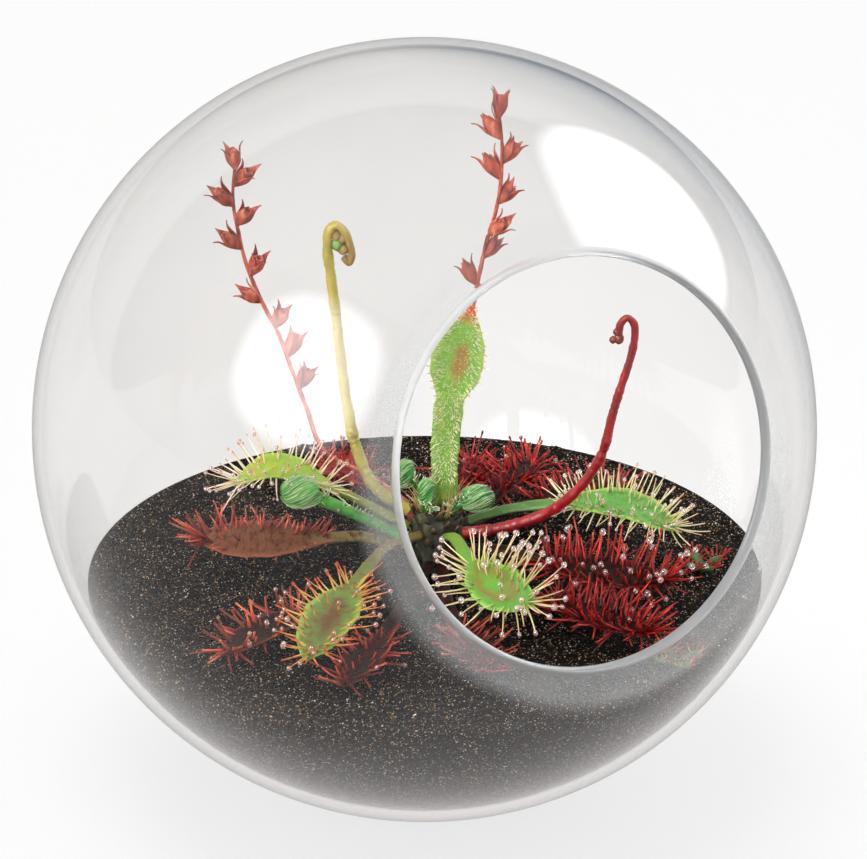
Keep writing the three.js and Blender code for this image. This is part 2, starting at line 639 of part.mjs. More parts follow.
const plant = new THREE.Group();
plant.position.z = SOIL_TOP;
plant.rotation.z = PLANT_TURN;
plant.add(makeSoil());
rolled.forEach(([name, young, limb]) => plant.add(makeRolled(name, young, limb)));
stalks.forEach(([name, stalk, limb]) => plant.add(makeStalk(name, stalk, limb)));
leaves.forEach(([name, leaf, limb]) => plant.add(makeLeaf(name, leaf, limb)));
Object.entries(SEEDLINGS).forEach(([name, seedling]) => plant.add(makeSeedling(name, seedling)));
plant.add(makeCrown());

const terrarium = new THREE.Group();
terrarium.add(makeGlobe());
terrarium.add(plant);

export default terrarium;
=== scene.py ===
# %% [markdown]
# # A sundew in a blown glass globe
#
# The object is a clear glass globe with a round mouth in its side. Dark glittering soil fills the
# lower part, and one sundew grows in it: a rosette of sticky leaves, rolled young leaves and four
# flower stalks. This lesson dresses the plain solids of the CAD model with fine meshes and
# materials. Lengths are written in millimetres and turned into Blender's metres in one place.

import math

import bmesh
import bpy
import numpy as np
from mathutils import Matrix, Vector


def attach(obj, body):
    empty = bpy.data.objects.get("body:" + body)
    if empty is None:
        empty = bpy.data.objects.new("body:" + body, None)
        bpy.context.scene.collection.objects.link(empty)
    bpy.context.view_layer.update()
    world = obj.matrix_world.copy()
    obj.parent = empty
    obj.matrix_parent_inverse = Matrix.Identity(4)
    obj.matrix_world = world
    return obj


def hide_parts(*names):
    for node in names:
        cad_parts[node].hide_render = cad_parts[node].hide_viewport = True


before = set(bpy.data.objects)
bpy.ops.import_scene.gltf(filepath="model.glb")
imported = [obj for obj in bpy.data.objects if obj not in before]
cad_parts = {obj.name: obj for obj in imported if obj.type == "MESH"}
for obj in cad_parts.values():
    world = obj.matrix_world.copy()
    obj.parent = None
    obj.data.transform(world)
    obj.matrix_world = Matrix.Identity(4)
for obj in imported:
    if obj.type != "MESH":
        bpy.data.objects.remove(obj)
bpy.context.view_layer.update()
MM = 0.001

# %% [markdown]
# ## The camera
#
# The photographer stood a little to the left of the mouth and looked down at about 24 degrees. A
# long lens from 0.9 m keeps the globe's outline a true circle, as in the photograph. The camera is
# placed by angles and not by eye, so that its place can be read and changed as a number.

# %% Camera
AZIMUTH = math.radians(-28.4)
ELEVATION = math.radians(24.1)
CAMERA_DISTANCE = 900
AIM_HEIGHT = 56.57
AIM_RIGHT = 1.38
LENS = 244
SENSOR = 36

towards_right = Vector((math.cos(AZIMUTH), math.sin(AZIMUTH), 0))
towards_viewer = Vector((
    math.sin(AZIMUTH) * math.cos(ELEVATION),
    -math.cos(AZIMUTH) * math.cos(ELEVATION),
    math.sin(ELEVATION),
))
camera = bpy.data.objects.new("camera", bpy.data.cameras.new("camera"))
camera.data.lens = LENS
camera.data.sensor_width = SENSOR
aim = Vector((0, 0, AIM_HEIGHT)) + AIM_RIGHT * towards_right
camera.location = (aim + CAMERA_DISTANCE * towards_viewer) * MM
camera.rotation_euler = (-towards_viewer).to_track_quat("-Z", "Y").to_euler()
bpy.context.scene.collection.objects.link(camera)
bpy.context.scene.camera = camera
print("the camera stands", CAMERA_DISTANCE, "mm away")

# %% [markdown]
# ## Driving sizes
#
# These are the CAD model's own sizes. The plant is described in a frame of its own: x to the
# viewer's right, y away from the viewer and h above the soil. One turn and one lift take it into
# the globe.

# %% Sizes and the plant's frame
GLOBE_RADIUS = 60
WALL = 1.6
FOOT_RADIUS = 20
FLOOR = 1.9
MOUTH_RADIUS = 30.1
MOUTH_TILT = math.radians(16)
LIP_NOSE = 1.2                   # how far the round nose reaches past the full wall
SOIL_TOP = 31.8
CROWN_PLACE = np.array([2.0, 4.0])

CENTRE = math.sqrt(GLOBE_RADIUS ** 2 - FOOT_RADIUS ** 2)
INNER_RADIUS = GLOBE_RADIUS - WALL
GLOBE_MIDDLE = np.array([0, 0, CENTRE - SOIL_TOP])      # seen from the plant's frame
TURN = np.array([
    [math.cos(AZIMUTH), -math.sin(AZIMUTH), 0],
    [math.sin(AZIMUTH), math.cos(AZIMUTH), 0],
    [0, 0, 1],
])


def planted(points):
    """Takes points from the plant's own frame into the globe."""
    return points @ TURN.T + [0, 0, SOIL_TOP]


def mix(first, second, share):
    """A number or point between two others."""
    return first + (second - first) * share


def round_ring(count):
    """Angles evenly round a ring."""
    return np.linspace(0, 2 * math.pi, count, endpoint=False)


# %% [markdown]
# ## Meshes from nets of points
#
# Nearly every form here is a net: rows of points, each row a ring. NumPy works all the points out
# at once, which is far quicker than adding them one by one with bmesh, and bmesh then only turns
# the faces outwards. Named values on the points, such as how far along a leaf a point lies, go
# into the mesh as attributes, which the materials read.

# %% Mesh helpers
def net_faces(rows, columns):
    """The four-cornered faces of a net whose rows are closed rings."""
    row = np.arange(rows - 1)[:, None] * columns
    here = np.arange(columns)[None, :]
    after = (here + 1) % columns
    corners = [row + here, row + after, row + columns + after, row + columns + here]
    return np.stack(corners, -1).reshape(-1, 4).tolist()


def ring_face(row, columns):
    """One face that closes the ring of a row."""
    return (np.arange(columns) + row * columns).tolist()


def tube_faces(rows, columns):
    """The faces of a net with both its ends closed."""
    return net_faces(rows, columns) + [ring_face(0, columns), ring_face(rows - 1, columns)]


def ball_net(rows, sides, cap):
    """A ball's rings from cap to cap: their angles from the top, the angles round, the points."""
    polar = np.linspace(cap, math.pi - cap, rows)[:, None]
    turn = round_ring(sides)
    points = np.stack([np.sin(polar) * np.cos(turn), np.sin(polar) * np.sin(turn),
                       np.cos(polar) * np.ones(sides)], -1)
    return polar, turn, points


class Net:
    """Points, faces, point values and the material number of each face, gathered bit by bit."""

    def __init__(self):
        self.points = []
        self.faces = []
        self.finish_of = []
        self.values = {}
        self.count = 0

    def add(self, points, faces, finish=0, **values):
        points = np.asarray(points, float).reshape(-1, 3)
        self.faces += [[corner + self.count for corner in face] for face in faces]
        self.finish_of += [finish] * len(faces)
        self.points.append(points)
        for name in {**self.values, **values}:
            column = self.values.setdefault(name, [np.zeros(self.count)])
            column.append(np.broadcast_to(np.ravel(values.get(name, 0.0)), len(points)))
        self.count += len(points)

    def tube(self, points, finish=0, **values):
        """Adds rings with a face over each end. A value is for each point, ring or place round."""
        values = {name: np.broadcast_to(value, points.shape[:2]) for name, value in values.items()}
        self.add(points, tube_faces(*points.shape[:2]), finish, **values)

    def piece(self, name, finishes, node, in_plant=True, smooth=True):
        """Makes the Blender object, lets it ride on the body and stand for its CAD node."""
        points = np.concatenate(self.points)
        points = planted(points) if in_plant else points
        mesh = bpy.data.meshes.new(name)
        mesh.from_pydata((points * MM).tolist(), [], self.faces)
        for value_name, column in self.values.items():
            attribute = mesh.attributes.new(value_name, "FLOAT", "POINT")
            attribute.data.foreach_set("value", np.concatenate(column).astype(np.float32))
        mesh.polygons.foreach_set("material_index", self.finish_of)
        work = bmesh.new()
        work.from_mesh(mesh)
        bmesh.ops.recalc_face_normals(work, faces=work.faces)
        work.to_mesh(mesh)
        work.free()
        mesh.polygons.foreach_set("use_smooth", [smooth] * len(mesh.polygons))
        for finish in finishes:
            mesh.materials.append(finish)
        made = bpy.data.objects.new(name, mesh)
        bpy.context.scene.collection.objects.link(made)
        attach(made, "root")
        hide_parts(node)
        return made


# %% [markdown]
# ## Finishes from nodes
#
# A material is a small recipe: noise, cells and the point values are mixed into a colour, a
# roughness and a bump. The classes below only shorten the writing, so that each recipe later reads
# from top to bottom. Texture coordinates are the object's own, in metres, so a scale of 1000 gives
# one feature for each millimetre.

# %% Recipes and finishes
def rgb(colour):
    """A colour written as on the web, such as "86a53c", as linear light. Linear light stays."""
    if not isinstance(colour, str):
        return colour
    parts = [int(colour[place:place + 2], 16) / 255 for place in (0, 2, 4)]
    return tuple(part / 12.92 if part <= 0.04045 else ((part + 0.055) / 1.055) ** 2.4
                 for part in parts)


class Recipe:
    """A node tree; each method adds a node and hands back its output."""

    def __init__(self, tree):
        self.tree = tree

    def feed(self, node, inputs):
        for name, value in inputs.items():
            socket = node.inputs[name]
            if isinstance(value, bpy.types.NodeSocket):
                self.tree.links.new(value, socket)
            elif socket.type == "RGBA":
                socket.default_value = (*rgb(value), 1)
            else:
                socket.default_value = value

    def node(self, kind, inputs, output=0, **settings):
        node = self.tree.nodes.new(kind)
        for name, value in settings.items():
            setattr(node, name, value)
        self.feed(node, inputs)
        return node.outputs if output is None else node.outputs[output]

    def place(self, stretch=(1, 1, 1)):
        where = self.node("ShaderNodeTexCoord", {}, "Object")
        return self.node("ShaderNodeMapping", {"Vector": where, "Scale": stretch})

    def value(self, name):
        return self.node("ShaderNodeAttribute", {}, "Fac", attribute_name=name)

    def noise(self, scale, detail=3, stretch=(1, 1, 1)):
        inputs = {"Vector": self.place(stretch), "Scale": scale, "Detail": detail}
        return self.node("ShaderNodeTexNoise", inputs, "Fac")

    def cells(self, scale, output="Distance"):
        return self.node("ShaderNodeTexVoronoi", {"Vector": self.place(), "Scale": scale}, output)

    def maths(self, how, first, second=0.0):
        return self.node("ShaderNodeMath", {0: first, 1: second}, operation=how)

    def plus(self, first, second):
        return self.maths("ADD", first, second)

    def minus(self, first, second):
        return self.maths("SUBTRACT", first, second)

    def times(self, first, second):
        return self.maths("MULTIPLY", first, second)

    def spread(self, value, low, high, to_low=0.0, to_high=1.0):
        """Stretches the values between low and high over a new range, and smooths both ends."""
        inputs = {"Value": value, "From Min": low, "From Max": high,
                  "To Min": to_low, "To Max": to_high}
        return self.node("ShaderNodeMapRange", inputs, interpolation_type="SMOOTHSTEP")

    def mix(self, share, first, second, how="MIX"):
        inputs = {0: share, 6: first, 7: second}
        return self.node("ShaderNodeMix", inputs, 2, data_type="RGBA", blend_type=how)

    def ramp(self, value, stops):
        node = self.tree.nodes.new("ShaderNodeValToRGB")
        node.color_ramp.interpolation = "EASE"
        while len(node.color_ramp.elements) < len(stops):
            node.color_ramp.elements.new(1)
        for element, (place, colour) in zip(node.color_ramp.elements, stops):
            element.position = place
            element.color = (*rgb(colour), 1)
        self.feed(node, {"Fac": value})
        return node.outputs["Color"]

    def bump(self, height, depth, strength=1.0):
        """A bump whose depth is in millimetres."""
        inputs = {"Height": height, "Distance": depth * MM, "Strength": strength}
        return self.node("ShaderNodeBump", inputs)


class Finish(Recipe):
    """The recipe of a material, round its shader."""

    def __init__(self, name, **plain):
        self.material = bpy.data.materials.new(name)
        self.material.use_nodes = True
        super().__init__(self.material.node_tree)
        self.done(**plain)

    def done(self, **inputs):
        inputs = {name.replace("_", " "): value for name, value in inputs.items()}
        self.feed(self.tree.nodes["Principled BSDF"], inputs)
        return self.material


# %% [markdown]
# ## The glass
#
# The globe is one gather of glass, blown, opened at the side and fire-polished. The heat draws the
# cut edge together into a round nose. A sphere with a Boolean hole would have a sharp edge there.
# Instead the wall's outline is turned about the mouth's axis: outside arc, round nose, inside arc.
# The wall is real, because a real wall bends the light.
#
# A milky band runs round the mouth outside, a painted reflection: the glass there is made whiter
# and less clear. It is sharp at the mouth and fades away from it. The outline carries two values for
# this: how milky a point is, and whether it lies on the nose, which is a little rough and painted
# milky too. The band is strongest along the bottom and widest at the lower right. The dark and blue
# lines that a glass edge shows are left to the glass and the room: painted on, they would stay put
# when the viewer moves.

# %% Glass finish
def clear_glass():
    finish = Finish("clear_glass", IOR=1.46, Specular_Tint=(0.5, 0.5, 0.52))
    ripples = finish.noise(45, detail=1)
    clear = finish.mix(finish.spread(ripples, 0.3, 0.7), "f9f8f7", "f7f6f5")
    # The milk and its fine glints are painted reflection at the mouth's edge.
    milk = finish.value("milk")
    cloud = finish.spread(finish.noise(160, detail=3), 0.25, 0.75, 0.85, 1.0)
    glints = finish.spread(finish.noise(3200, detail=2), 0.55, 0.7, 0.29, 0.46)
    veil = finish.times(finish.times(milk, cloud), glints)
    colour = finish.mix(milk, clear, "f1f3f4")
    return finish.done(Base_Color=colour, Normal=finish.bump(ripples, 0.05, 0.15),
                       Roughness=finish.times(finish.value("nose"), 0.3),
                       Transmission_Weight=finish.minus(1.0, veil))


# %% The turned wall
FOOT_EASE = 1.2                         # how far from the foot's edge the rounding begins
MILKY_REACH = 6.3                       # how far from the nose the milky band reaches
MILKY_FADE = 3.3                        # over which it fades
MILKY_NOSE = 0.9                        # how milky the nose is
BAND_DEEPEST = math.radians(255)      # where round the mouth the painted band is strongest
BAND_WIDEST = math.radians(330)       # where it reaches furthest


def off_axis(radius, angle):
    """Points in a half plane: how far from the mouth's axis, and how far along it."""
    return np.stack([radius * np.sin(angle), radius * np.cos(angle)], -1)


def eased_floor(height, level):
    """Lifts heights to a level, and rounds the corner that this leaves."""
    near = np.clip(FOOT_EASE - np.abs(height - level), 0, None)
    return np.maximum(height, level) + near ** 2 / (4 * FOOT_EASE)


def make_globe():
    segments = 288
    half = WALL / 2
    lip_radius = GLOBE_RADIUS - half
    nose_reach = LIP_NOSE / lip_radius
    nose_angle = math.asin(MOUTH_RADIUS / lip_radius) + nose_reach
    near_angle = nose_angle + MILKY_REACH / lip_radius
    pole = math.pi - 0.002
    turn = np.linspace(math.pi / 2, -math.pi / 2, 41)[1:-1]
    angle = np.concatenate([np.linspace(pole, near_angle, 100),
                            np.linspace(near_angle, nose_angle, 31)[1:]])
    outside = off_axis(GLOBE_RADIUS, angle)
    inside = np.concatenate([
        off_axis(lip_radius + half * np.sin(turn), nose_angle - nose_reach * np.cos(turn)),
        off_axis(INNER_RADIUS, angle[::-1]),
    ])
    outline = np.concatenate([outside, inside])
    nose = np.zeros(len(outline))
    nose[len(outside):len(outside) + len(turn)] = 1
    angle = round_ring(segments)
    # Painted reflection: the milky band is strongest along the bottom and widest at the lower right.
    band_strength = 0.2 + 0.8 * np.clip(0.9 + 0.9 * np.cos(angle - BAND_DEEPEST), 0, 1)
    reach = MILKY_REACH * (1 + 0.7 * np.clip(np.cos(angle - BAND_WIDEST), 0, 1))
    from_nose = np.linalg.norm(outline - outside[-1], axis=1)[:, None]
    milk = band_strength * np.clip((reach - from_nose) / MILKY_FADE, 0, 1) ** 1.2
    milk[len(outside):] = 0
    radius, height = outline[:, :1], outline[:, 1:]
    across = radius * np.sin(angle)
    points = np.stack([
        radius * np.cos(angle),
        across * math.sin(MOUTH_TILT) - height * math.cos(MOUTH_TILT),
        CENTRE + across * math.cos(MOUTH_TILT) + height * math.sin(MOUTH_TILT),
    ], -1)
    points[:len(outside), :, 2] = eased_floor(points[:len(outside), :, 2], 0)
    points[len(outside):, :, 2] = eased_floor(points[len(outside):, :, 2], FLOOR)
    net = Net()
    net.tube(points, milk=milk + MILKY_NOSE * nose[:, None], nose=nose[:, None])
    globe = net.piece("globe_wall", [clear_glass()], "glass_globe", in_plant=False)
    globe.visible_shadow = False
    return globe


globe = make_globe()
print("the glass wall has", len(globe.data.polygons), "faces")

# %% [markdown]
# ## The soil
#
# The soil is a black mix of peat and grit, full of tiny mica flecks that glitter white and gold.
# From the side it is pressed against the glass, so its outline is the globe's own inside. Flecks
# this small could all be drawn by the material, but real grains catch the light and cast shadows
# on the flat top, so the top gets many thousands of small stones, and the material draws the rest.
# Among the leaves the loose grains lose their glitter and stay dark: painted shade under the rosette.

# %% Soil finish
CRUMB = 0.17                            # how wide one crumb or fleck is


def dark_soil():
    """Near-black crumbs with a share of pale and golden flecks, one colour for each cell."""
    finish = Finish("dark_soil", Roughness=0.8, Specular_IOR_Level=0.06)
    cell = finish.cells(1 / (CRUMB * MM), "Color")
    chance, darkness, gold = finish.node("ShaderNodeSeparateColor", {0: cell}, None)
    crumbs = finish.mix(darkness, "030202", "0d0a08")
    fleck = finish.mix(finish.spread(gold, 0.45, 0.55), "d8ccbe", "b98a48")
    colour = finish.mix(finish.spread(chance, 0.92, 0.965), crumbs, fleck)
    clods = finish.spread(finish.noise(260, detail=5), 0.35, 0.7)
    colour = finish.mix(clods, colour, finish.mix(0.45, colour, "0a0807"))
    height = finish.plus(finish.noise(1800, detail=4), finish.times(chance, 0.6))
    return finish.done(Base_Color=colour, Normal=finish.bump(height, 0.25, 0.8))


def grain_stone():
    """Most grains are near black, a few brown or gold, and the rarest are pale mica."""
    finish = Finish("soil_grains", Roughness=0.5, Specular_IOR_Level=0.15)
    colour = finish.ramp(finish.value("shade"), [
        (0.0, "060404"), (0.8, "080605"), (0.87, "1c140e"), (0.92, "8a6a3e"), (0.96, "e0b468"),
        (1.0, "fff8f0")])
    speckle = finish.noise(2500)
    colour = finish.mix(finish.spread(speckle, 0.3, 0.8), colour, finish.mix(0.35, colour, "080605"))
    return finish.done(Base_Color=colour, Normal=finish.bump(speckle, 0.08, 0.6))


# %% The soil bed
def soil_relief(x, y):
    """The low, uneven top of the CAD soil, with finer crumbs on it."""
    coarse = np.sin(0.61 * x + 1.3) * np.cos(0.53 * y - 0.4)
    fine = np.sin(1.37 * x - 0.9 * y) * np.cos(1.1 * x + 1.7 * y)
    crumbs = np.sin(5.1 * x + 3 * np.sin(2.3 * y)) * np.sin(4.7 * y + 3 * np.cos(2.9 * x))
    return 0.32 * (coarse + 0.6 * fine) + 0.11 * crumbs


SOIL_GAP = 0.05                         # the clearance between soil and glass


def make_soil():
    """Turns the outline: from the middle of the foot, up the bowl and over the top to its middle."""
    sides = 240
    radius = INNER_RADIUS - SOIL_GAP
    drop = CENTRE - SOIL_TOP
    bottom = CENTRE - FLOOR - SOIL_GAP
    angle = np.linspace(math.acos(bottom / radius), math.acos(drop / radius), 60)
    rim = radius * math.sin(angle[-1])
    bowl = np.stack([radius * np.sin(angle), drop - radius * np.cos(angle)], -1)
    foot = bowl[0] * np.stack([np.linspace(0.05, 1, 12)[:-1], np.ones(11)], -1)
    top = [rim, 0] * np.linspace(1, 0.002, 130)[1:, None]
    outline = np.concatenate([foot, bowl, top])
    turn = round_ring(sides)
    x = outline[:, :1] * np.cos(turn)
    y = outline[:, :1] * np.sin(turn)
    z = np.broadcast_to(outline[:, 1:], x.shape).copy()
    on_top = np.arange(len(outline)) >= len(foot) + len(bowl)
    z[on_top] += soil_relief(x[on_top], y[on_top])
    net = Net()
    net.tube(np.stack([x, y, z], -1))
    net.piece("soil_bed", [dark_soil()], "soil")
    return rim


soil_rim = make_soil()
print("the soil's top is", round(2 * soil_rim, 1), "mm across")

# %% [markdown]
# Each grain is a small eight-faced stone with random sides. An instancer would be lighter, but one
# joined mesh is simpler to export, and 176,000 triangles are not too many.

# %% Loose grains
GRAINS = 22000
OCTAHEDRON = np.array([[1, 0, 0], [0, 1, 0], [-1, 0, 0], [0, -1, 0], [0, 0, 1], [0, 0, -1]], float)
OCTAHEDRON_FACES = np.array([
    [0, 1, 4], [1, 2, 4], [2, 3, 4], [3, 0, 4], [1, 0, 5], [2, 1, 5], [3, 2, 5], [0, 3, 5],
])
GRAIN_MARGIN = 0.4                      # how far the grains stay from the glass
LEAFY_PLACE = (2, -4)                   # the middle of the ground among the leaves
LEAFY_REACH = 26
LEAFY_WAVE = 8                          # how much that ground's edge comes and goes
PAINTED_SHADE_DULL = 0.84                             # painted shade: among the leaves the grains' tone stays below the mica's


def make_grains():
    rng = np.random.default_rng(11)
    reach = (soil_rim - GRAIN_MARGIN) * np.sqrt(rng.random(GRAINS))
    turn = 2 * math.pi * rng.random(GRAINS)
    x = reach * np.cos(turn)
    y = reach * np.sin(turn)
    size = 0.08 + 0.11 * rng.random(GRAINS) ** 2
    stretch = rng.uniform(0.6, 1.25, (GRAINS, 6, 3))
    spin = np.linalg.qr(rng.normal(size=(GRAINS, 3, 3)))[0]
    stones = np.einsum("nij,nkj->nki", spin, OCTAHEDRON * stretch) * size[:, None, None]
    centre = np.stack([x, y, soil_relief(x, y) + 0.35 * size], -1)
    points = stones + centre[:, None]
    faces = (OCTAHEDRON_FACES + 6 * np.arange(GRAINS)[:, None, None]).reshape(-1, 3).tolist()
    shade = rng.random(GRAINS)
    from_leaves = np.hypot(x - LEAFY_PLACE[0], y - LEAFY_PLACE[1])
    # Painted shade: the grains among the leaves lose their glitter and stay dark.
    shade[from_leaves < LEAFY_REACH + LEAFY_WAVE * np.sin(3 * turn)] *= PAINTED_SHADE_DULL
    net = Net()
    net.add(points, faces, shade=np.repeat(shade, 6))
    return net.piece("soil_grains", [grain_stone()], "soil", smooth=False)


grains = make_grains()
print("loose grains:", len(grains.data.polygons) // 8)

# %% [markdown]
# ## Limbs along a curve
#
# Leaves, stalks and scales all grow along a line. A few points give the line, and a smooth curve
# runs through them, the same kind of curve as in the CAD model, so that each fine limb lies where
# its solid lies. At each step the curve gives a frame: along it, out of the leaf's face, and to
# its side.

# %% Curves and frames
CURVE_STEPS = 24                        # between two given points


def smooth_line(points):
    """Points of a centripetal Catmull-Rom curve through the given ones."""
    points = np.asarray(points, float)
    knots = np.concatenate([2 * points[:1] - points[1:2], points, 2 * points[-1:] - points[-2:-1]])
    t = np.linspace(0, 1, CURVE_STEPS, endpoint=False)[:, None]
    rows = []
    for a, b, c, d in zip(knots, knots[1:], knots[2:], knots[3:]):
        before, here, after = (np.linalg.norm(pair) ** 0.5 for pair in (b - a, c - b, d - c))
        start = ((b - a) / before - (c - a) / (before + here) + (c - b) / here) * here
        end = ((c - b) / here - (d - b) / (here + after) + (d - c) / after) * here
        rows.append(b + start * t + (3 * (c - b) - 2 * start - end) * t ** 2
                    + (2 * (b - c) + start + end) * t ** 3)
    return np.concatenate([*rows, points[-1:]])


def unit(vectors):
    return vectors / np.linalg.norm(vectors, axis=-1, keepdims=True)


class Limb:
    """A line with its length, and a frame at any part of that length."""

    def __init__(self, path, face=(0, 0, 1)):
        self.line = smooth_line(path)
        step = np.linalg.norm(np.diff(self.line, axis=0), axis=1)
        self.part = np.concatenate([[0], np.cumsum(step)])
        self.length = self.part[-1]
        self.part /= self.length
        self.face = unit(np.array(face, float))

    def at(self, parts):
        parts = np.atleast_1d(parts)
        point = [np.interp(parts, self.part, self.line[:, axis]) for axis in range(3)]
        return np.stack(point, -1)

    def frames(self, parts):
        """The middle line at parts of its length, and the ways along, out of the face and aside."""
        parts = np.atleast_1d(parts)
        middle = self.at(parts)
        near = 0.012
        along = unit(self.at(np.minimum(parts + near, 1)) - self.at(np.maximum(parts - near, 0)))
        normal = unit(self.face - along * (along @ self.face)[:, None])
        return middle, along, normal, np.cross(along, normal)

    def skin(self, parts, half, thick, sides, lift=None):
        """Rings across the limb: half and thick are a number for each ring, or one for all."""
        middle, _, normal, side = self.frames(parts)
        turn = round_ring(sides)
        across = np.cos(turn) * np.broadcast_to(half, len(parts))[:, None]
        up = np.sin(turn) * np.broadcast_to(thick, len(parts))[:, None]
        if lift:
            up = up + lift(np.cos(turn)[None, :])
        return middle[:, None] + across[..., None] * side[:, None] + up[..., None] * normal[:, None]


# %% [markdown]
# ## The leaves
#
# A sundew leaf is a strap that widens into a spoon. Its edge and its face carry tentacles: thin
# hairs that end in a red gland, and many glands hold a drop of clear glue. Hair particles could
# make them, but they give no solid glands and no control over single hairs. Here every tentacle is
# a small tapered mesh, and NumPy makes all of one leaf's tentacles at a time.
#
# The table says for each leaf where its midline runs, how far along it the blade begins, the
# blade's half width, the way its face looks, its look from the list of looks further on, how long
# its tentacles are and how many it has at its edge and on its face. Some leaves say more: a mark in
# the hollow (heart), brown ribs, a coloured tip, shorter tentacles at the sides, or a shaded side
# with few and short ones (bare: 1 for its right side seen from the stalk, -1 for its left).

# %% The leaf table
FRONT = dict(blade=0.6, face=(0, -0.15, 0.99), look="ember", reach=4.4, edge=38, inner=16)
BACK = dict(blade=0.45, look="crimson", reach=5, edge=52, inner=34)
LEAVES = {
    "leaf_left_green": dict(
        path=[[-2.55, 4.64, 6.2], [-8, 5.6, 9], [-14.5, 4, 13.2], [-23.2, 3.8, 16.4], [-29.8, 3.8, 14]],
        blade=0.42, half=3.3, face=(-0.05, -0.2, 0.98), look="spring", reach=5.4, edge=72, inner=16),
    "leaf_left_red": dict(
        path=[[-2.6, 3.8, 2.4], [-9.5, 3, 5.2], [-16, 0.6, 6], [-26.5, 0, 5.6], [-35.6, 3.6, 5.2]],
        blade=0.36, half=3.8, face=(-0.1, -0.4, 0.91), look="olive", reach=5.4, edge=110, inner=9,
        ribs=0.8, bare=-1, sides=0.6),
    "leaf_front_left_dark": dict(
        path=[[-1.25, 0.75, 2.4], [-7.5, -5.5, 3], [-14.5, -14.5, 3], [-21.5, -23.5, 3.4],
              [-30, -32.5, 2.8]],
        blade=0.58, half=3.2, face=(-0.1, -0.2, 0.97), look="coral", reach=5, edge=54, inner=12,
        bare=-1),
    "leaf_front_left_spoon": dict(
        path=[[-0.64, 0.23, 6.8], [-5.2, -5, 7.6], [-9.4, -14.5, 7.2], [-14, -27, 5.8], [-17.6, -36.5, 3.8]],
        blade=0.48, half=4.1, face=(-0.1, -0.52, 0.85), look="amber", reach=4.5, edge=70, inner=10,
        heart=dict(place=0.76, long=0.2, lane=-0.05, wide=0.62, soft=(1.2, 0.1), colour="5e2c16")),
    "leaf_front_low": dict(
        FRONT, half=3,
        path=[[0.8, -0.5, 2.2], [-2, -11.5, 2.4], [-5, -21.5, 2.4], [-8, -32.5, 2.7], [-12.4, -42.5, 2.3]]),
    "leaf_front_middle": dict(
        FRONT, half=2.8,
        path=[[2.8, -0.6, 2.2], [3.2, -11, 2.3], [4.6, -21, 2.4], [7, -30, 2.6], [10, -38, 2.3]]),
    "leaf_front_spoon": dict(
        path=[[3.2, -0.5, 6.8], [4.6, -5.5, 9], [7.2, -14.6, 9], [11.2, -21.5, 7.9], [16.6, -25, 7.2]],
        blade=0.5, half=3.9, face=(0, -0.68, 0.73), look="bright", reach=6.6, edge=62, inner=16,
        heart=dict(place=0.73, long=0.13, lane=-0.05, wide=0.5, ring=True, strength=0.6,
                   colour="8c5426")),
    "leaf_right_low": dict(
        path=[[5.1, 0.6, 2.2], [10.5, -4.6, 2], [16.5, -11.5, 2.2], [25.5, -20.5, 2.8], [35, -26.5, 2.9]],
        blade=0.5, half=3.2, face=(0, -0.2, 0.98), look="crimson", reach=5.4, edge=96, inner=80),
    "leaf_right_red": dict(
        path=[[6.4, 2.4, 3.6], [11.8, 0.2, 4.4], [18, -3.6, 4.4], [27.4, -8, 3.8], [38, -10.4, 4.2]],
        blade=0.36, half=3.4, face=(0, -0.3, 0.95), look="wine", reach=6.2, edge=110, inner=56),
    "leaf_right_green": dict(
        path=[[6.5, 5, 7], [12, 5.4, 8.6], [20.5, 4.4, 10.2], [31, 2.8, 10.4], [39.2, -1.2, 8.4]],
        blade=0.42, half=3.3, face=(0.1, -0.35, 0.93), look="meadow", reach=4.8, edge=96, inner=60),
    "leaf_back_side": dict(
        BACK, half=2.8, face=(0.1, -0.2, 0.97),
        path=[[5.7, 6.9, 4.4], [11, 10.6, 5.6], [18.5, 14.5, 6], [25, 18, 5.8], [31.5, 21.5, 5.2]]),
    "leaf_back_right": dict(
        BACK, half=2.8, face=(0, -0.25, 0.97),
        path=[[4.5, 7.9, 2.6], [8, 13, 4.4], [12, 20, 5.2], [15, 26, 5.4], [17.5, 32, 4.8]]),
    "leaf_back_middle": dict(
        BACK, half=2.6, face=(0, -0.25, 0.97),
        path=[[2.4, 8.7, 4.4], [4, 14, 5.2], [5.5, 20, 5.4], [6.5, 26, 5.4], [7.5, 32, 4.8]]),
    "leaf_back_left": dict(
        path=[[-0.2, 8.1, 4.4], [-4, 13, 6.4], [-8.5, 18.5, 7.4], [-12.5, 23.5, 7.6], [-17, 29, 6.8]],
        blade=0.42, half=3.2, face=(0, -0.45, 0.89), look="scarlet", reach=3.4, edge=56, inner=44),
    "leaf_upright": dict(
        path=[[3.2, 4.8, 9.9], [3.1, 5, 17], [3.6, 5, 25], [5, 5, 33.5], [7.3, 5.3, 43.4]],
        blade=0.4, half=4.1, foot=1.9, stem=2.3, point=1.05, face=(-0.15, -0.98, 0.1), look="upright",
        reach=1.5, edge=130, inner=800, low=0.06, tip="c8482a",
        heart=dict(place=0.72, long=0.12, lane=0.1, wide=0.36, soft=(1.3, 0.2), strength=0.75,
                   colour="a45428")),
}
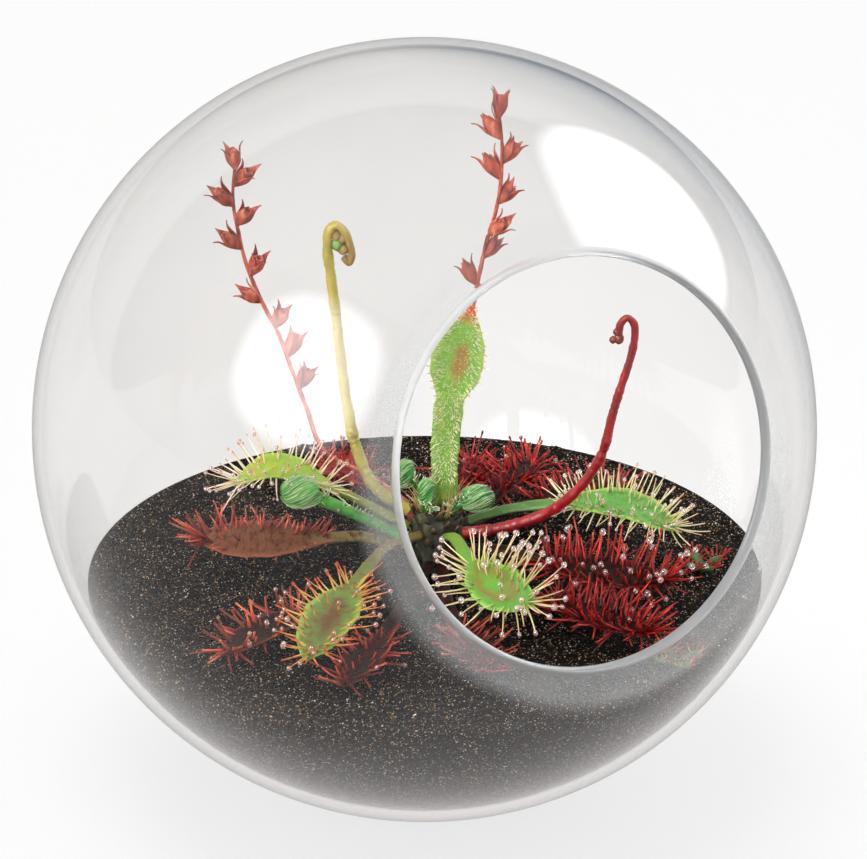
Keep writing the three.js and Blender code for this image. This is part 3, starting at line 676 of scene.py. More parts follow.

# %% [markdown]
# A look is a handful of colours and sizes. Leaves in full light are red, and those in shade stay
# green with pale hairs. For each look: the colours of the stalk, of the blade and of its rim, the
# blush that comes with sun, how far it spreads and how fine its grain is, how glossy the skin is,
# the hair's colour from root to neck and the gland's, the hair's root and neck radius, how many
# necks wide the gland is (head), how wildly the hairs stand, the drops' radius, and which share of
# the glands is wet. In the red looks the hair's dark root is painted shade deep among the hairs, and
# the crimson and wine blades are their own dark colour deepened by painted shade.

# %% The looks
GREEN_LOOKS = ("spring", "amber", "bright", "meadow", "upright")
AMBER_DEW_LOOKS = ("coral", "ember", "amber")
SOMBRE = dict(gloss=0.02, blushed=0.5)
# Painted shade: the red looks' dark hair roots, and the deepened crimson and wine blades.
LOOKS = {
    "spring": dict(
        stalk="7f9a34", blade="86b036", rim="9cc048", blush="c8702e", blushed=0.35, grain=1500,
        hair=("c8c878", "f6eedc", "f2dcd0"), gland="e0988a", root=0.17, neck=0.075, head=1.6,
        dew=0.28, wet=0.6),
    "olive": dict(
        stalk="8a7c44", blade="6e4226", rim="8c4c32", blush="642a18", blushed=0.45, grain=700, gloss=0.08,
        hair=("6e2a1c", "c4482e", "f0866a"), gland="c84a38", root=0.36, neck=0.1, head=1.7, wild=0.34,
        dew=0.2, wet=0.04),
    "coral": dict(
        SOMBRE, stalk="2c1a12", blade="1c1610", rim="6a2c1c", blush="30120c",
        hair=("5e1a10", "cc4428", "f07c54"), gland="dc6438", root=0.34, neck=0.12, head=1.8, wild=0.28,
        dew=0.4, wet=0.3),
    "ember": dict(
        SOMBRE, stalk="20100a", blade="1c0e0a", rim="561a10", blush="340e0a",
        hair=("3a0e0a", "a8301c", "e86a40"), gland="c04424", root=0.3, neck=0.11, head=1.8, wild=0.28,
        dew=0.3, wet=0.08),
    "amber": dict(
        stalk="6a5a2c", blade="5c8030", rim="86b848", blush="6c5024", blushed=0.4, grain=900,
        hair=("a89838", "dcac50", "dc6a40"), gland="cc4a2a", root=0.21, neck=0.08, head=1.8,
        dew=0.36, wet=0.5),
    "bright": dict(
        stalk="6c8f30", blade="5c9c30", rim="8ccc48", blush="748e2c", blushed=0.3, grain=900,
        hair=("98a84c", "e8dca4", "f4dcc4"), gland="e08a70", root=0.19, neck=0.08, head=1.6,
        dew=0.42, wet=0.7),
    "meadow": dict(
        stalk="4a6e30", blade="5ea040", rim="b0d060", blush="4c8834", blushed=0.35, grain=900,
        hair=("98b45c", "e8e8b4", "f4ead4"), gland="ecb89c", root=0.17, neck=0.072, head=1.5,
        dew=0.3, wet=0.45),
    "crimson": dict(
        SOMBRE, stalk="3c0c0a", blade="260606", rim="6c0e0e", blush="140304",
        hair=("3c0406", "bc1010", "f03c2c"), gland="a01014", root=0.28, neck=0.11, head=1.6, wild=0.26,
        dew=0.34, wet=0.03),
    "wine": dict(
        SOMBRE, stalk="2c1c10", blade="1a160c", rim="781614", blush="300a0a",
        hair=("480609", "d01414", "f25440"), gland="c81c20", root=0.27, neck=0.1, head=1.6, wild=0.26,
        dew=0.46, wet=0.26),
    "scarlet": dict(
        stalk="6c1814", blade="7c1c1a", rim="a02824", blush="a43028", blushed=0.4, grain=900,
        hair=("84181a", "c43430", "ec8070"), gland="c02428", root=0.2, neck=0.085, head=1.7, wild=0.24,
        dew=0.26, wet=0.1),
    "upright": dict(
        stalk="7aa844", blade="70a43c", rim="9cbc58", blush="98b854", blushed=0.45, grain=1200,
        hair=("c4e088", "f0f8cc", "f6f2d4"), gland="f2f6d8", root=0.08, neck=0.045, head=1.4, wet=0,
        edge_hair=("b4b45a", "dc8248", "d85434")),
}


# %% [markdown]
# The blade's finish is wet and slightly see-through, so light that falls in comes out a little
# further on. Subsurface scattering does that. The colour runs from the stalk's to the blade's, with
# blushed patches, a rim of its own and a fine net of cells in the bump.

# %% Leaf finishes
def heart_mark(finish, heart):
    """How much a point belongs to the mark in the hollow of a spoon: an oval, or a ring."""
    ahead, aside = (
        finish.maths("DIVIDE", finish.minus(finish.value(value), heart[middle]), heart[size])
        for value, middle, size in (("along", "place", "long"), ("lane", "lane", "wide")))
    reach = finish.maths("SQRT", finish.plus(finish.times(ahead, ahead), finish.times(aside, aside)))
    uneven = finish.times(finish.minus(finish.noise(700, detail=3), 0.5), 0.9)
    reach = finish.plus(reach, uneven)
    if "ring" in heart:
        mark = finish.spread(finish.maths("ABSOLUTE", finish.minus(reach, 1.0)), 0.6, 0.0)
    else:
        mark = finish.spread(reach, *heart["soft"])
    return finish.times(mark, heart.get("strength", 0.85))


def leaf_skin(name, leaf, look):
    gloss = look.get("gloss", 0.15)
    finish = Finish(f"{name}_skin", Roughness=0.42, Subsurface_Weight=0.12, Coat_Weight=gloss,
                    Coat_Roughness=0.25, Specular_IOR_Level=0.1 + 2 * gloss, Subsurface_Scale=0.5 * MM,
                    Subsurface_Radius=(1, 0.6, 0.3))
    along = finish.value("along")
    lane = finish.maths("ABSOLUTE", finish.value("lane"))
    body = finish.mix(finish.spread(along, 0.25, 0.55), look["stalk"], look["blade"])
    patches = finish.noise(look.get("grain", 420), detail=4)
    spread = 0.72 - 0.4 * look["blushed"]
    blushed = finish.spread(patches, spread - 0.1, spread + 0.12)
    body = finish.mix(finish.times(blushed, 0.9), body, look["blush"])
    if "ribs" in leaf:
        wander = finish.times(finish.noise(260), 16.0)
        ribbing = finish.maths("SINE", finish.plus(finish.times(along, 190.0), wander))
        ribbing = finish.times(finish.spread(ribbing, 0.2, 1.0), finish.spread(patches, 0.35, 0.65))
        body = finish.mix(finish.times(ribbing, leaf["ribs"]), body, "3a1a0e")
    rim = finish.times(finish.spread(lane, 0.7, 0.96), finish.spread(along, 0.3, 0.55))
    body = finish.mix(finish.times(rim, 0.85), body, look["rim"])
    if "heart" in leaf:
        body = finish.mix(heart_mark(finish, leaf["heart"]), body, leaf["heart"]["colour"])
    if "tip" in leaf:
        body = finish.mix(finish.spread(along, 0.88, 0.97), body, leaf["tip"])
    mottle = finish.spread(finish.noise(1500, detail=2), 0.3, 0.75, 0, 0.4)
    body = finish.mix(mottle, body, finish.mix(0.5, body, "f0e8a0", "MULTIPLY"))
    pores = finish.plus(finish.cells(2600), finish.times(patches, 1.5))
    return finish.done(Base_Color=body, Normal=finish.bump(pores, 0.12, 0.5))


def hair_skin(name, hair, gland, dimmed="80403a"):
    """Runs from the hair's root to its gland, and dims some hairs more than others."""
    finish = Finish(name, Roughness=0.42, Specular_IOR_Level=0.35)
    root, middle, neck = hair
    # In the red looks the dark root colour is painted shade deep among the hairs.
    colour = finish.ramp(finish.value("along"), [
        (0.0, root), (0.4, middle), (0.78, neck), (0.86, gland)])
    # Random tone; for the red leaves' hairs the strong dimming is also painted shade in their mass.
    shade = finish.spread(finish.value("shade"), 0, 1, 0, 0.95)
    colour = finish.mix(shade, colour, finish.mix(1.0, colour, dimmed, "MULTIPLY"))
    return finish.done(Base_Color=colour, Normal=finish.bump(finish.noise(3000), 0.04, 0.4))


def clear_dew(name, tint):
    """A drop of clear glue with a bright coat. It is made faintly cloudy and pale: a painted highlight."""
    finish = Finish(name, Roughness=0.0, IOR=1.36, Transmission_Weight=0.84, Coat_Weight=1.0,
                    Coat_Roughness=0.06, Coat_IOR=2.0)
    # The white cloud in the bead is a painted highlight.
    depth = finish.spread(finish.noise(500), 0.3, 0.7)
    return finish.done(Base_Color=finish.mix(depth, "ffffff", tint))


DEW_CLEAR = clear_dew("dew_clear", "fdf6ee")
DEW_AMBER = clear_dew("dew_amber", "f6d2a0")


# %% [markdown]
# ### Blade and tentacles
#
# The blade's rings follow the CAD section, and only the edge is rounder and raised a little. The
# tentacles at the edge stand in three rows that fan out from flat to upright, and those on the
# face are short and stand up. A tentacle that would reach through the soil or the glass is cut
# shorter.

# %% The blade
STALK_HALF = 0.8                        # half the stalk's width at the crown
STEM_HALF = 1.15                        # and where the blade begins
STALK_THICK = 0.55                      # half the thickness of the stalk
TIP_THICK = 0.36                        # and of the tip
BLADE_POINT = 0.65                      # the spoon's form: a higher number is more pointed


def leaf_section(leaf, parts):
    """Half width, half thickness and hollowing at parts of the leaf's length."""
    foot, stem = leaf.get("foot", STALK_HALF), leaf.get("stem", STEM_HALF)
    point = leaf.get("point", BLADE_POINT)
    on_stalk = parts / leaf["blade"]
    s = np.clip((parts - leaf["blade"]) / (1 - leaf["blade"]), 0, 1)
    bulge = leaf["half"] * np.clip(np.sin(math.pi * s ** 1.15), 0, None) ** point
    half = np.where(on_stalk < 1, mix(foot, stem, on_stalk),
                    np.maximum(mix(stem, TIP_THICK, s ** 2), bulge))
    thick = mix(STALK_THICK, TIP_THICK, s)
    cup = 0.2 * np.minimum(1, np.minimum(4 * s, 4 * (1 - s)))
    return half, thick, cup


def add_blade(net, leaf, limb, rng):
    rings, sides = 84, 28
    parts = 1 - (1 - np.linspace(0, 1, rings)) ** 1.35
    half, thick, cup = leaf_section(leaf, parts)
    half = half * (1 + 0.025 * np.sin(34 * parts + 6 * rng.random()) + 0.02 * np.sin(71 * parts))

    def lift(x):
        edge = np.clip((np.abs(x) - 0.75) / 0.25, 0, 1) ** 2
        return (cup * half)[:, None] * x ** 2 + 0.05 * (half[:, None] - 0.8) * edge

    net.tube(limb.skin(parts, half, thick, sides, lift), along=parts[:, None],
             lane=np.cos(round_ring(sides)))


# %% Many tentacles at once
GLAND_LENGTH = 0.55
HAIR_STEPS = np.array([0, 0.12, 0.3, 0.52, 0.76, 1.0])
HAIR_TAPER = np.array([1.0, 0.82, 0.6, 0.4, 0.2, 0.0]) ** 1.2
HEAD_STEPS = np.array([0.15, 0.45, 0.8, 1.0])
HEAD_SHAPE = np.array([0.75, 1.0, 0.8, 0.3])
SOIL_LEVEL = 0.5                        # no tip goes below this height
GLASS_REACH = INNER_RADIUS - 0.9        # or further than this from the globe's middle


def fit_inside(root, way, bend, length):
    """Shortens what would reach into the soil or the glass."""
    for _ in range(6):
        tip = root + length[:, None] * (way + bend)
        outside = (tip[:, 2] < SOIL_LEVEL) | (np.linalg.norm(tip - GLOBE_MIDDLE, axis=1) > GLASS_REACH)
        length = np.where(outside, length * 0.75, length)
    return length


def add_threads(net, paths, radius, rng, finish=1, along=None, sides=6):
    """Thin tubes. Paths hold the points of all of them, and radius the thickness at each point."""
    count, rows = paths.shape[:2]
    way = unit(paths[:, -1] - paths[:, 0])
    aside = unit(np.cross(way, [0.31, 0.17, 0.93]))
    across = np.cross(way, aside)
    turn = round_ring(sides)
    ring = np.cos(turn)[:, None] * aside[:, None] + np.sin(turn)[:, None] * across[:, None]
    points = paths[:, :, None] + radius[..., None, None] * ring[:, None]
    faces = np.array(net_faces(rows, sides))
    ends = np.array([ring_face(0, sides), ring_face(rows - 1, sides)])
    start = (rows * sides * np.arange(count))[:, None, None]
    faces = (faces + start).reshape(-1, 4).tolist() + (ends + start).reshape(-1, sides).tolist()
    along = np.broadcast_to(np.linspace(0, 1, rows) if along is None else along, (count, rows))
    net.add(points, faces, finish=finish, along=np.repeat(along.ravel(), sides),
            shade=np.repeat(rng.random(count), rows * sides))


def add_tentacles(net, root, way, bend, length, thickness, rng, finish=1):
    """Tapered hairs with an oval gland at the tip. Hands back the middles of the glands.

    The thickness is a radius at the root, at the neck and at the gland."""
    root_radius, neck_radius, gland_radius = thickness
    count = len(root)
    length = fit_inside(root, way, bend, length)
    gland = np.clip(GLAND_LENGTH / length, 0.02, 0.5)[:, None]
    t = np.concatenate([HAIR_STEPS * (1 - gland), 1 - gland + HEAD_STEPS * gland], 1)
    hair_radius = neck_radius + (root_radius - neck_radius) * HAIR_TAPER
    size = rng.uniform(0.85, 1.15, (count, 1))
    radius = np.concatenate([hair_radius * size, gland_radius * HEAD_SHAPE * size], 1)
    bent = way[:, None] * t[..., None] + bend[:, None] * t[..., None] ** 2
    paths = root[:, None] + length[:, None, None] * bent
    along = np.where(np.arange(t.shape[1]) < len(HAIR_STEPS), t / (1 - gland) * 0.8, 1.0)
    add_threads(net, paths, radius, rng, finish, along)
    return paths[:, -3]


def add_drops(net, middles, radius, rng):
    """Small round drops, a little higher than wide."""
    rows, sides = 10, 14
    drop = ball_net(rows, sides, 0.06)[2] * [1, 1, 1.12]
    faces = tube_faces(rows, sides)
    for middle, size in zip(middles, radius * rng.uniform(0.75, 1.2, len(middles))):
        net.add(middle + drop * size, faces)


# %% Where a leaf's tentacles stand
FAN = 2.85                              # how far round from the tip the edge rows go, in radians
EDGE_ROWS = np.array([0.02, 0.4, 0.85])         # how steeply each row stands
TAME = 0.1                              # how wildly hairs stand where the look doesn't say
BARE_SHARE = 0.42                       # how long they are on a shaded side


def edge_tentacles(leaf, limb, rng):
    count = leaf["edge"]
    angle = np.linspace(-FAN, FAN, count) + rng.uniform(-0.035, 0.035, count)
    row = np.arange(count) % len(EDGE_ROWS)
    parts = mix(leaf["blade"], 1, 0.5 + 0.5 * (0.95 - 0.05 * row) * np.cos(angle))
    middle, along, normal, side = limb.frames(parts)
    half, _, cup = leaf_section(leaf, parts)
    lane = np.sin(angle) * (0.88 - 0.1 * row)
    root = middle + side * (lane * half)[:, None] + normal * (cup * half * lane ** 2)[:, None]
    blade_length = limb.length * (1 - leaf["blade"])
    forward = np.cos(angle) * leaf["half"] / blade_length * 2.4
    flat = unit(along * forward[:, None] + side * np.sin(angle)[:, None])
    lift = EDGE_ROWS[row] + rng.uniform(0, 0.3, count)
    wild = LOOKS[leaf["look"]].get("wild", TAME)
    way = unit(flat + normal * lift[:, None] + wild * rng.normal(size=(count, 3)))
    length = leaf["reach"] * rng.uniform(0.92 - wild, 1.15, count) * (1 - 0.1 * row)
    from_tip = np.clip((np.abs(angle) - 0.5) / 0.7, 0, 1)
    length *= mix(1, leaf.get("sides", 1), from_tip)
    bend = 0.12 * normal * rng.uniform(-0.3, 1.5, (count, 1)) + 0.06 * rng.normal(size=(count, 3))
    shaded = angle * leaf.get("bare", 0) > 0.7
    length = np.where(shaded, BARE_SHARE * length, length)
    kept = ~(shaded & (np.arange(count) % 2 == 0))
    return root[kept], way[kept], bend[kept], length[kept]


def face_tentacles(leaf, limb, rng):
    count = leaf["inner"]
    s = 0.06 + 0.9 * (np.arange(count) + rng.random(count)) / count
    parts = mix(leaf.get("low", leaf["blade"]), 1, s)
    middle, along, normal, side = limb.frames(parts)
    half, thick, cup = leaf_section(leaf, parts)
    lane = rng.uniform(-0.78, 0.78, count)
    height = cup * half * lane ** 2 + 0.6 * thick
    root = middle + side * (lane * half)[:, None] + normal * height[:, None]
    lean = side * (0.9 * lane)[:, None] + along * (0.5 * (s - 0.5))[:, None]
    way = unit(normal + lean + 0.14 * rng.normal(size=(count, 3)))
    length = leaf["reach"] * mix(0.3, 0.72, np.abs(lane)) * rng.uniform(0.8, 1.15, count)
    bend = 0.08 * rng.normal(size=(count, 3))
    return root, way, bend, length


# %% Growing the leaves
def make_leaf(name, leaf, seed):
    """The blade with its tentacles is one piece, and its drops of glue are another."""
    rng = np.random.default_rng(seed)
    look = LOOKS[leaf["look"]]
    limb = Limb(leaf["path"], leaf["face"])
    # The red leaves' hairs are dimmed hard: random tone and painted shade in their mass.
    slot, dimmed = ("green_leaf", "e8dcc4") if leaf["look"] in GREEN_LOOKS else ("red_leaf", "7c3a32")
    net = Net()
    add_blade(net, leaf, limb, rng)
    thickness = look["root"], look["neck"], look["head"] * look["neck"]
    glands = np.concatenate([
        add_tentacles(net, *edge_tentacles(leaf, limb, rng), thickness, rng, 2),
        add_tentacles(net, *face_tentacles(leaf, limb, rng), thickness, rng, 1),
    ])
    hair, edge_hair, gland = look["hair"], look.get("edge_hair", look["hair"]), look["gland"]
    finishes = [leaf_skin(name, leaf, look), hair_skin(f"{name}_hairs", hair, gland, dimmed),
                hair_skin(f"{name}_edge_hairs", edge_hair, gland, dimmed)]
    blade = net.piece(f"{name}_blade", finishes, name)
    if look["wet"]:
        drops = Net()
        add_drops(drops, glands[rng.random(len(glands)) < look["wet"]], look["dew"], rng)
        dew = DEW_AMBER if leaf["look"] in AMBER_DEW_LOOKS else DEW_CLEAR
        drops.piece(f"{name}_dew", [dew], name).visible_shadow = False
    return blade


for place, (name, leaf) in enumerate(LEAVES.items()):
    blade = make_leaf(name, leaf, 100 + place)
    print(name, "has", leaf["edge"] + leaf["inner"], "tentacles and", len(blade.data.polygons), "faces")

# %% [markdown]
# ## Rolled young leaves
#
# New leaves come up rolled in like a fern, with their tentacles folded over the roll. A roll is an
# egg whose surface rises in ridges that run round it, and pale hairs lie combed over it. The table
# gives the stem's midline and its half width at the top, the roll's middle and half sizes, its
# colour, and how many hairs it has.

# %% Rolled leaf table
ROLLED = {
    "leaf_left_furled": dict(
        path=[[-2.1, 1.9, 4.6], [-7.6, 1.6, 8.2], [-12.8, -0.2, 11.6], [-17.4, -2.3, 14.8]],
        stem=1.3, roll=[-19, -3, 15.6], size=[3.1, 2.2, 2.3], skin="4cae3c", hairs=210),
    "bud_left": dict(
        path=[[0.5, 6, 9.9], [-0.8, 6.2, 12], [-2.4, 6, 13.6]],
        stem=0.9, roll=[-3, 6, 14.6], size=[1.8, 1.7, 2.1], skin="2a8c34", hairs=80),
    "bud_middle": dict(
        path=[[0.6, 2.6, 9.9], [0.4, 2.3, 11.2], [0.4, 2, 12.4]],
        stem=0.9, roll=[0.4, 2, 13.3], size=[1.5, 1.5, 2], skin="309434", hairs=80),
    "bud_right": dict(
        path=[[4.1, 2.2, 9.9], [5.2, 1.9, 11.2], [7, 2, 12]],
        stem=0.9, roll=[8.2, 2, 12.2], size=[2.9, 1.7, 2], skin="248a34", hairs=110),
}


def young_skin(name, colour):
    finish = Finish(f"{name}_skin", Roughness=0.3, Subsurface_Weight=0.15, Coat_Weight=0.4,
                    Subsurface_Scale=0.6 * MM, Subsurface_Radius=(0.8, 1, 0.3))
    ridge = finish.spread(finish.value("ridge"), 0.35, 0.95)
    cloud = finish.spread(finish.noise(500, detail=3), 0.3, 0.7)
    colour = finish.mix(cloud, colour, finish.mix(0.6, colour, "16401a"))
    colour = finish.mix(finish.times(ridge, 0.35), colour, "a8cc80")
    return finish.done(Base_Color=colour, Normal=finish.bump(finish.noise(2200), 0.1, 0.5))


def pale_hair(name, codes):
    finish = Finish(name, Roughness=0.4)
    root, middle, neck, tip = codes
    colour = finish.ramp(finish.value("along"), [(0.0, root), (0.5, middle), (0.85, neck), (1.0, tip)])
    shade = finish.spread(finish.value("shade"), 0, 1, 0, 0.7)
    colour = finish.mix(shade, colour, finish.mix(1.0, colour, "b0c090", "MULTIPLY"))
    return finish.done(Base_Color=colour, Normal=finish.bump(finish.noise(2500), 0.03, 0.3))


PALE_HAIR = pale_hair("pale_hair", ("4ca044", "98cc7c", "dcf0c4", "f4f6e4"))


# %% Rolling them
RIDGES = 5
STEM_HAIRS = 26
COMBED_TAPER = np.array([0.3, 0.8, 1, 1, 1, 0.95, 0.85, 0.7, 0.4])


def combed_hairs(centre, size, count, rng):
    """Paths of hairs that lie on the roll side by side, all combed the same way."""
    rows = len(COMBED_TAPER)
    start = rng.uniform(0.25, 1.5, (count, 1))
    polar = start + rng.uniform(0.6, 1.3, (count, 1)) * np.linspace(0, 1, rows)
    turn = 2 * math.pi * rng.random((count, 1)) + 0.9 * np.cos(polar)
    lift = 1.04 + 0.05 * rng.random((count, 1)) + 0.1 * np.linspace(0, 1, rows) ** 3
    round_way = [-np.cos(polar), np.sin(polar) * np.cos(turn), np.sin(polar) * np.sin(turn)]
    return centre + np.stack(round_way, -1) * size * lift[..., None]


def make_rolled(name, young, seed):
    rng = np.random.default_rng(seed)
    limb = Limb(young["path"], (0, -0.5, 0.86))
    net = Net()
    parts = np.linspace(0, 1, 26)
    net.tube(limb.skin(parts, mix(STALK_HALF, young["stem"], parts), mix(STALK_THICK, 0.8, parts), 18))
    polar, turn, ball = ball_net(34, 48, 0.04)
    wind = turn + 1.1 * np.cos(polar)
    ridge = (0.5 + 0.5 * np.cos(RIDGES * wind)) ** 2 * np.sin(polar) ** 2
    size, centre = np.array(young["size"]), np.array(young["roll"])
    lying = np.roll(ball, 1, axis=-1)                   # its poles point along x
    net.tube(centre + lying * size * (0.93 + 0.11 * ridge)[..., None], ridge=ridge)
    count = young["hairs"]
    paths = combed_hairs(centre, size, count, rng)
    add_threads(net, paths, rng.uniform(0.03, 0.055, (count, 1)) * COMBED_TAPER, rng, sides=5)
    middle, along, normal, side = limb.frames(rng.uniform(0.05, 1, STEM_HAIRS))
    way = unit(normal + 0.4 * along + side * rng.uniform(-0.6, 0.6, (STEM_HAIRS, 1)))
    length = rng.uniform(1.0, 2.4, STEM_HAIRS)
    add_tentacles(net, middle + 0.4 * normal, way, 0 * way, length, (0.14, 0.06, 0.1), rng)
    net.piece(f"{name}_roll", [young_skin(name, young["skin"]), PALE_HAIR], name)


for place, (name, young) in enumerate(ROLLED.items()):
    make_rolled(name, young, 300 + place)
    print(name, "has", young["hairs"], "hairs on its roll")

# %% [markdown]
# ## Flower stalks
#
# Two old stalks have dried red-brown and carry their seed pods. A pod is an urn in the clasp of four
# pointed sepals. It is turned from an outline and pressed into four lobes, and the sepals are thin
# blades swept along short curves. Two young stalks are still rolled in at the top, with small flower
# buds inside the roll. The table gives each stalk's midline and its radius at the root and the tip.
# A pod is a place along the stalk and a side that it leans to. A bud is a place, a radius and one of
# the stalk's finishes. A young stalk may be pressed flat in the roll (band).

# %% Stalk table
STALKS = {
    "stalk_left_pods": dict(
        path=[[-1.5, 7, 8.2], [-8, 10, 12], [-15.7, 12, 15.7], [-18.3, 14, 21.9], [-20.6, 15, 28.1],
              [-22.9, 16, 34.4], [-24.9, 16, 38.6], [-27.5, 17, 44.9], [-28.6, 17, 49.9],
              [-29.5, 17, 55.8], [-29.1, 17, 61.4]],
        root=0.6, tip=0.35, pods=[[0.42, 1], [0.5, 1], [0.58, 1], [0.65, -1], [0.72, 1], [0.79, -1],
                                  [0.85, 1], [0.9, -1], [0.95, 1], [1, -0.3]]),
    "stalk_middle_pods": dict(
        path=[[3.95, 8.15, 8.6], [4.6, 9, 20], [5.8, 9.3, 32], [7.6, 9.3, 41.9], [8.5, 9.6, 47],
              [9.6, 10, 52.2], [10.8, 10.5, 56.2], [11.6, 11, 61], [11.8, 11.5, 66.6], [11.3, 12, 71.6]],
        root=0.6, tip=0.35, pods=[[0.57, -1], [0.64, 1], [0.7, 1], [0.78, 1], [0.84, -1], [0.88, 1],
                                  [0.94, -1], [1, 0.3]]),
    "stalk_pale": dict(
        path=[[-2.4, 5.2, 8.8], [-7.6, 5.6, 12.4], [-10.7, 7, 19], [-12, 7, 26.2], [-12.8, 7, 33.1],
              [-13.5, 7, 40.1], [-14.3, 7, 47.3], [-14.8, 7, 52.2], [-14.6, 7, 54.6], [-13.6, 7, 55.7],
              [-12.4, 7, 54.9], [-11.4, 7, 52.7], [-11.1, 7, 50.7], [-11.5, 7, 49.6], [-12.3, 7, 50.4]],
        root=0.95, tip=0.75, band=0.22,
        buds=[[-13.3, 7, 52.5, 0.95, 1], [-13.4, 7, 54, 0.8, 0], [-12.5, 7, 53.5, 0.85, 0],
              [-12.4, 7, 51.8, 0.9, 0]]),
    "stalk_red": dict(
        path=[[5.9, 1.35, 6.6], [12, 1.6, 7.4], [18.5, 1, 10], [22.3, -1, 13.8], [25.4, -2, 18.1],
              [27.4, -2.5, 22.5], [28.6, -3, 28.3], [29.7, -3, 32.5], [31.4, -3, 38.5], [31.9, -3, 41.9],
              [31.7, -3, 43.7], [30.7, -3, 44.6], [29.7, -3, 43.6], [29.5, -3, 41.6]],
        root=0.95, tip=0.55,
        buds=[[29.5, -3, 41.2, 0.8, 1], [28.6, -3, 41, 0.55, 1], [29.2, -3, 42.3, 0.6, 1]]),
}


def dry_husk():
    finish = Finish("dry_husk", Roughness=0.6, Subsurface_Weight=0.1, Subsurface_Scale=0.4 * MM)
    streaks = finish.noise(900, detail=5, stretch=(1, 1, 0.3))
    colour = finish.ramp(streaks, [(0.3, "7c2c1c"), (0.5, "bc4c34"), (0.68, "e08c6c")])
    shade = finish.spread(finish.value("shade"), 0, 1, 0, 0.8)
    colour = finish.mix(shade, colour, finish.mix(1, colour, "d0a080", "MULTIPLY"))
    point = finish.spread(finish.value("along"), 0.84, 1.0, 0, 0.5)
    colour = finish.mix(point, colour, "4a1c16")
    return finish.done(Base_Color=colour, Normal=finish.bump(finish.noise(2600, detail=4), 0.14, 0.9))


def fresh_stem(name, low, high, spot):
    finish = Finish(name, Roughness=0.4, Subsurface_Weight=0.2, Coat_Weight=0.2,
                    Subsurface_Scale=0.5 * MM, Subsurface_Radius=(1, 0.6, 0.4))
    cloud = finish.noise(420, detail=4, stretch=(1, 1, 0.4))
    colour = finish.mix(finish.spread(cloud, 0.3, 0.7), low, high)
    tip = finish.spread(finish.value("along"), 0.8, 0.96)
    colour = finish.mix(finish.times(tip, 0.75), colour, spot)
    return finish.done(Base_Color=colour, Normal=finish.bump(finish.noise(2400), 0.08, 0.5))


DRY_HUSK = dry_husk()
PALE_STEM = fresh_stem("pale_stem", "a89a3c", "c4b452", "8a6236")
RED_STEM = fresh_stem("red_stem", "840810", "b0101c", "8c1c1c")


# %% Seed pods
SEPALS = 4
POD_OUTLINE = np.array([                # for a pod of size 1: from the axis, and up
    [0.06, 0.0], [0.28, 0.3], [0.56, 1.0], [0.82, 1.8], [0.92, 2.5], [0.84, 3.1], [0.7, 3.5],
    [0.6, 3.7], [0.5, 3.6], [0.42, 3.1], [0.36, 2.5], [0.05, 2.3]])
SEPAL_LINE = np.array([[0.2, 0.05], [0.72, 1.1], [1.12, 2.2], [1.24, 3.2], [1.4, 4.0], [1.9, 4.6]])
SEPAL_HALF = np.array([0.2, 0.5, 0.74, 0.92, 0.96, 0.86, 0.66, 0.42, 0.2, 0.05])


def place_along(points, foot, way):
    """Stands points that were made along z at a foot, along a way."""
    aside = unit(np.cross(way, [0.2, 0.9, 0.37]))
    return foot + points @ np.stack([aside, np.cross(way, aside), way])


def add_pod(net, foot, way, size, rng):
    """An urn with pointed sepals that clasp it and turn their tips outwards."""
    sides = 20
    turn = round_ring(sides)
    lobes = 1 + 0.12 * np.cos(SEPALS * turn) + 0.05 * rng.normal(size=sides)
    radius = POD_OUTLINE[:, :1] * lobes
    urn = np.stack([radius * np.cos(turn), radius * np.sin(turn),
                    np.broadcast_to(POD_OUTLINE[:, 1:], radius.shape)], -1) * size
    shade = rng.random()
    net.tube(place_along(urn, foot, way), shade=0.6 * shade, along=0.85)
    parts = np.linspace(0, 1, len(SEPAL_HALF))

    def wrap(x):
        return -0.35 * size * SEPAL_HALF[:, None] * x ** 2

    for place in range(SEPALS):
        angle = (place + 0.5 + 0.14 * rng.normal()) * 2 * math.pi / SEPALS
        out = np.array([math.cos(angle), math.sin(angle)])
        line = SEPAL_LINE * [rng.uniform(0.85, 1.12), rng.uniform(0.88, 1.06)]
        path = np.concatenate([line[:, :1] * out, line[:, 1:]], 1) * size
        sepal = Limb(path, (*out, 0.1)).skin(parts, size * SEPAL_HALF, 0.08, 10, wrap)
        net.tube(place_along(sepal, foot, way), shade=shade, along=parts[:, None])


# %% Stems, pods and buds
DRIED = 0.75                            # what is left of a stalk's thickness when it dries


def add_bud(net, centre, radius, rng, finish):
    """A small flower bud: an egg with three soft folds."""
    polar, turn, ball = ball_net(16, 20, 0.08)
    fold = 1 + 0.09 * np.cos(3 * turn + 2 * polar) * np.sin(polar) + 0.02 * rng.normal(size=(16, 20))
    net.tube(centre + radius * ball * [1, 1, 1.1] * fold[..., None], finish, along=1.0, shade=0.5)


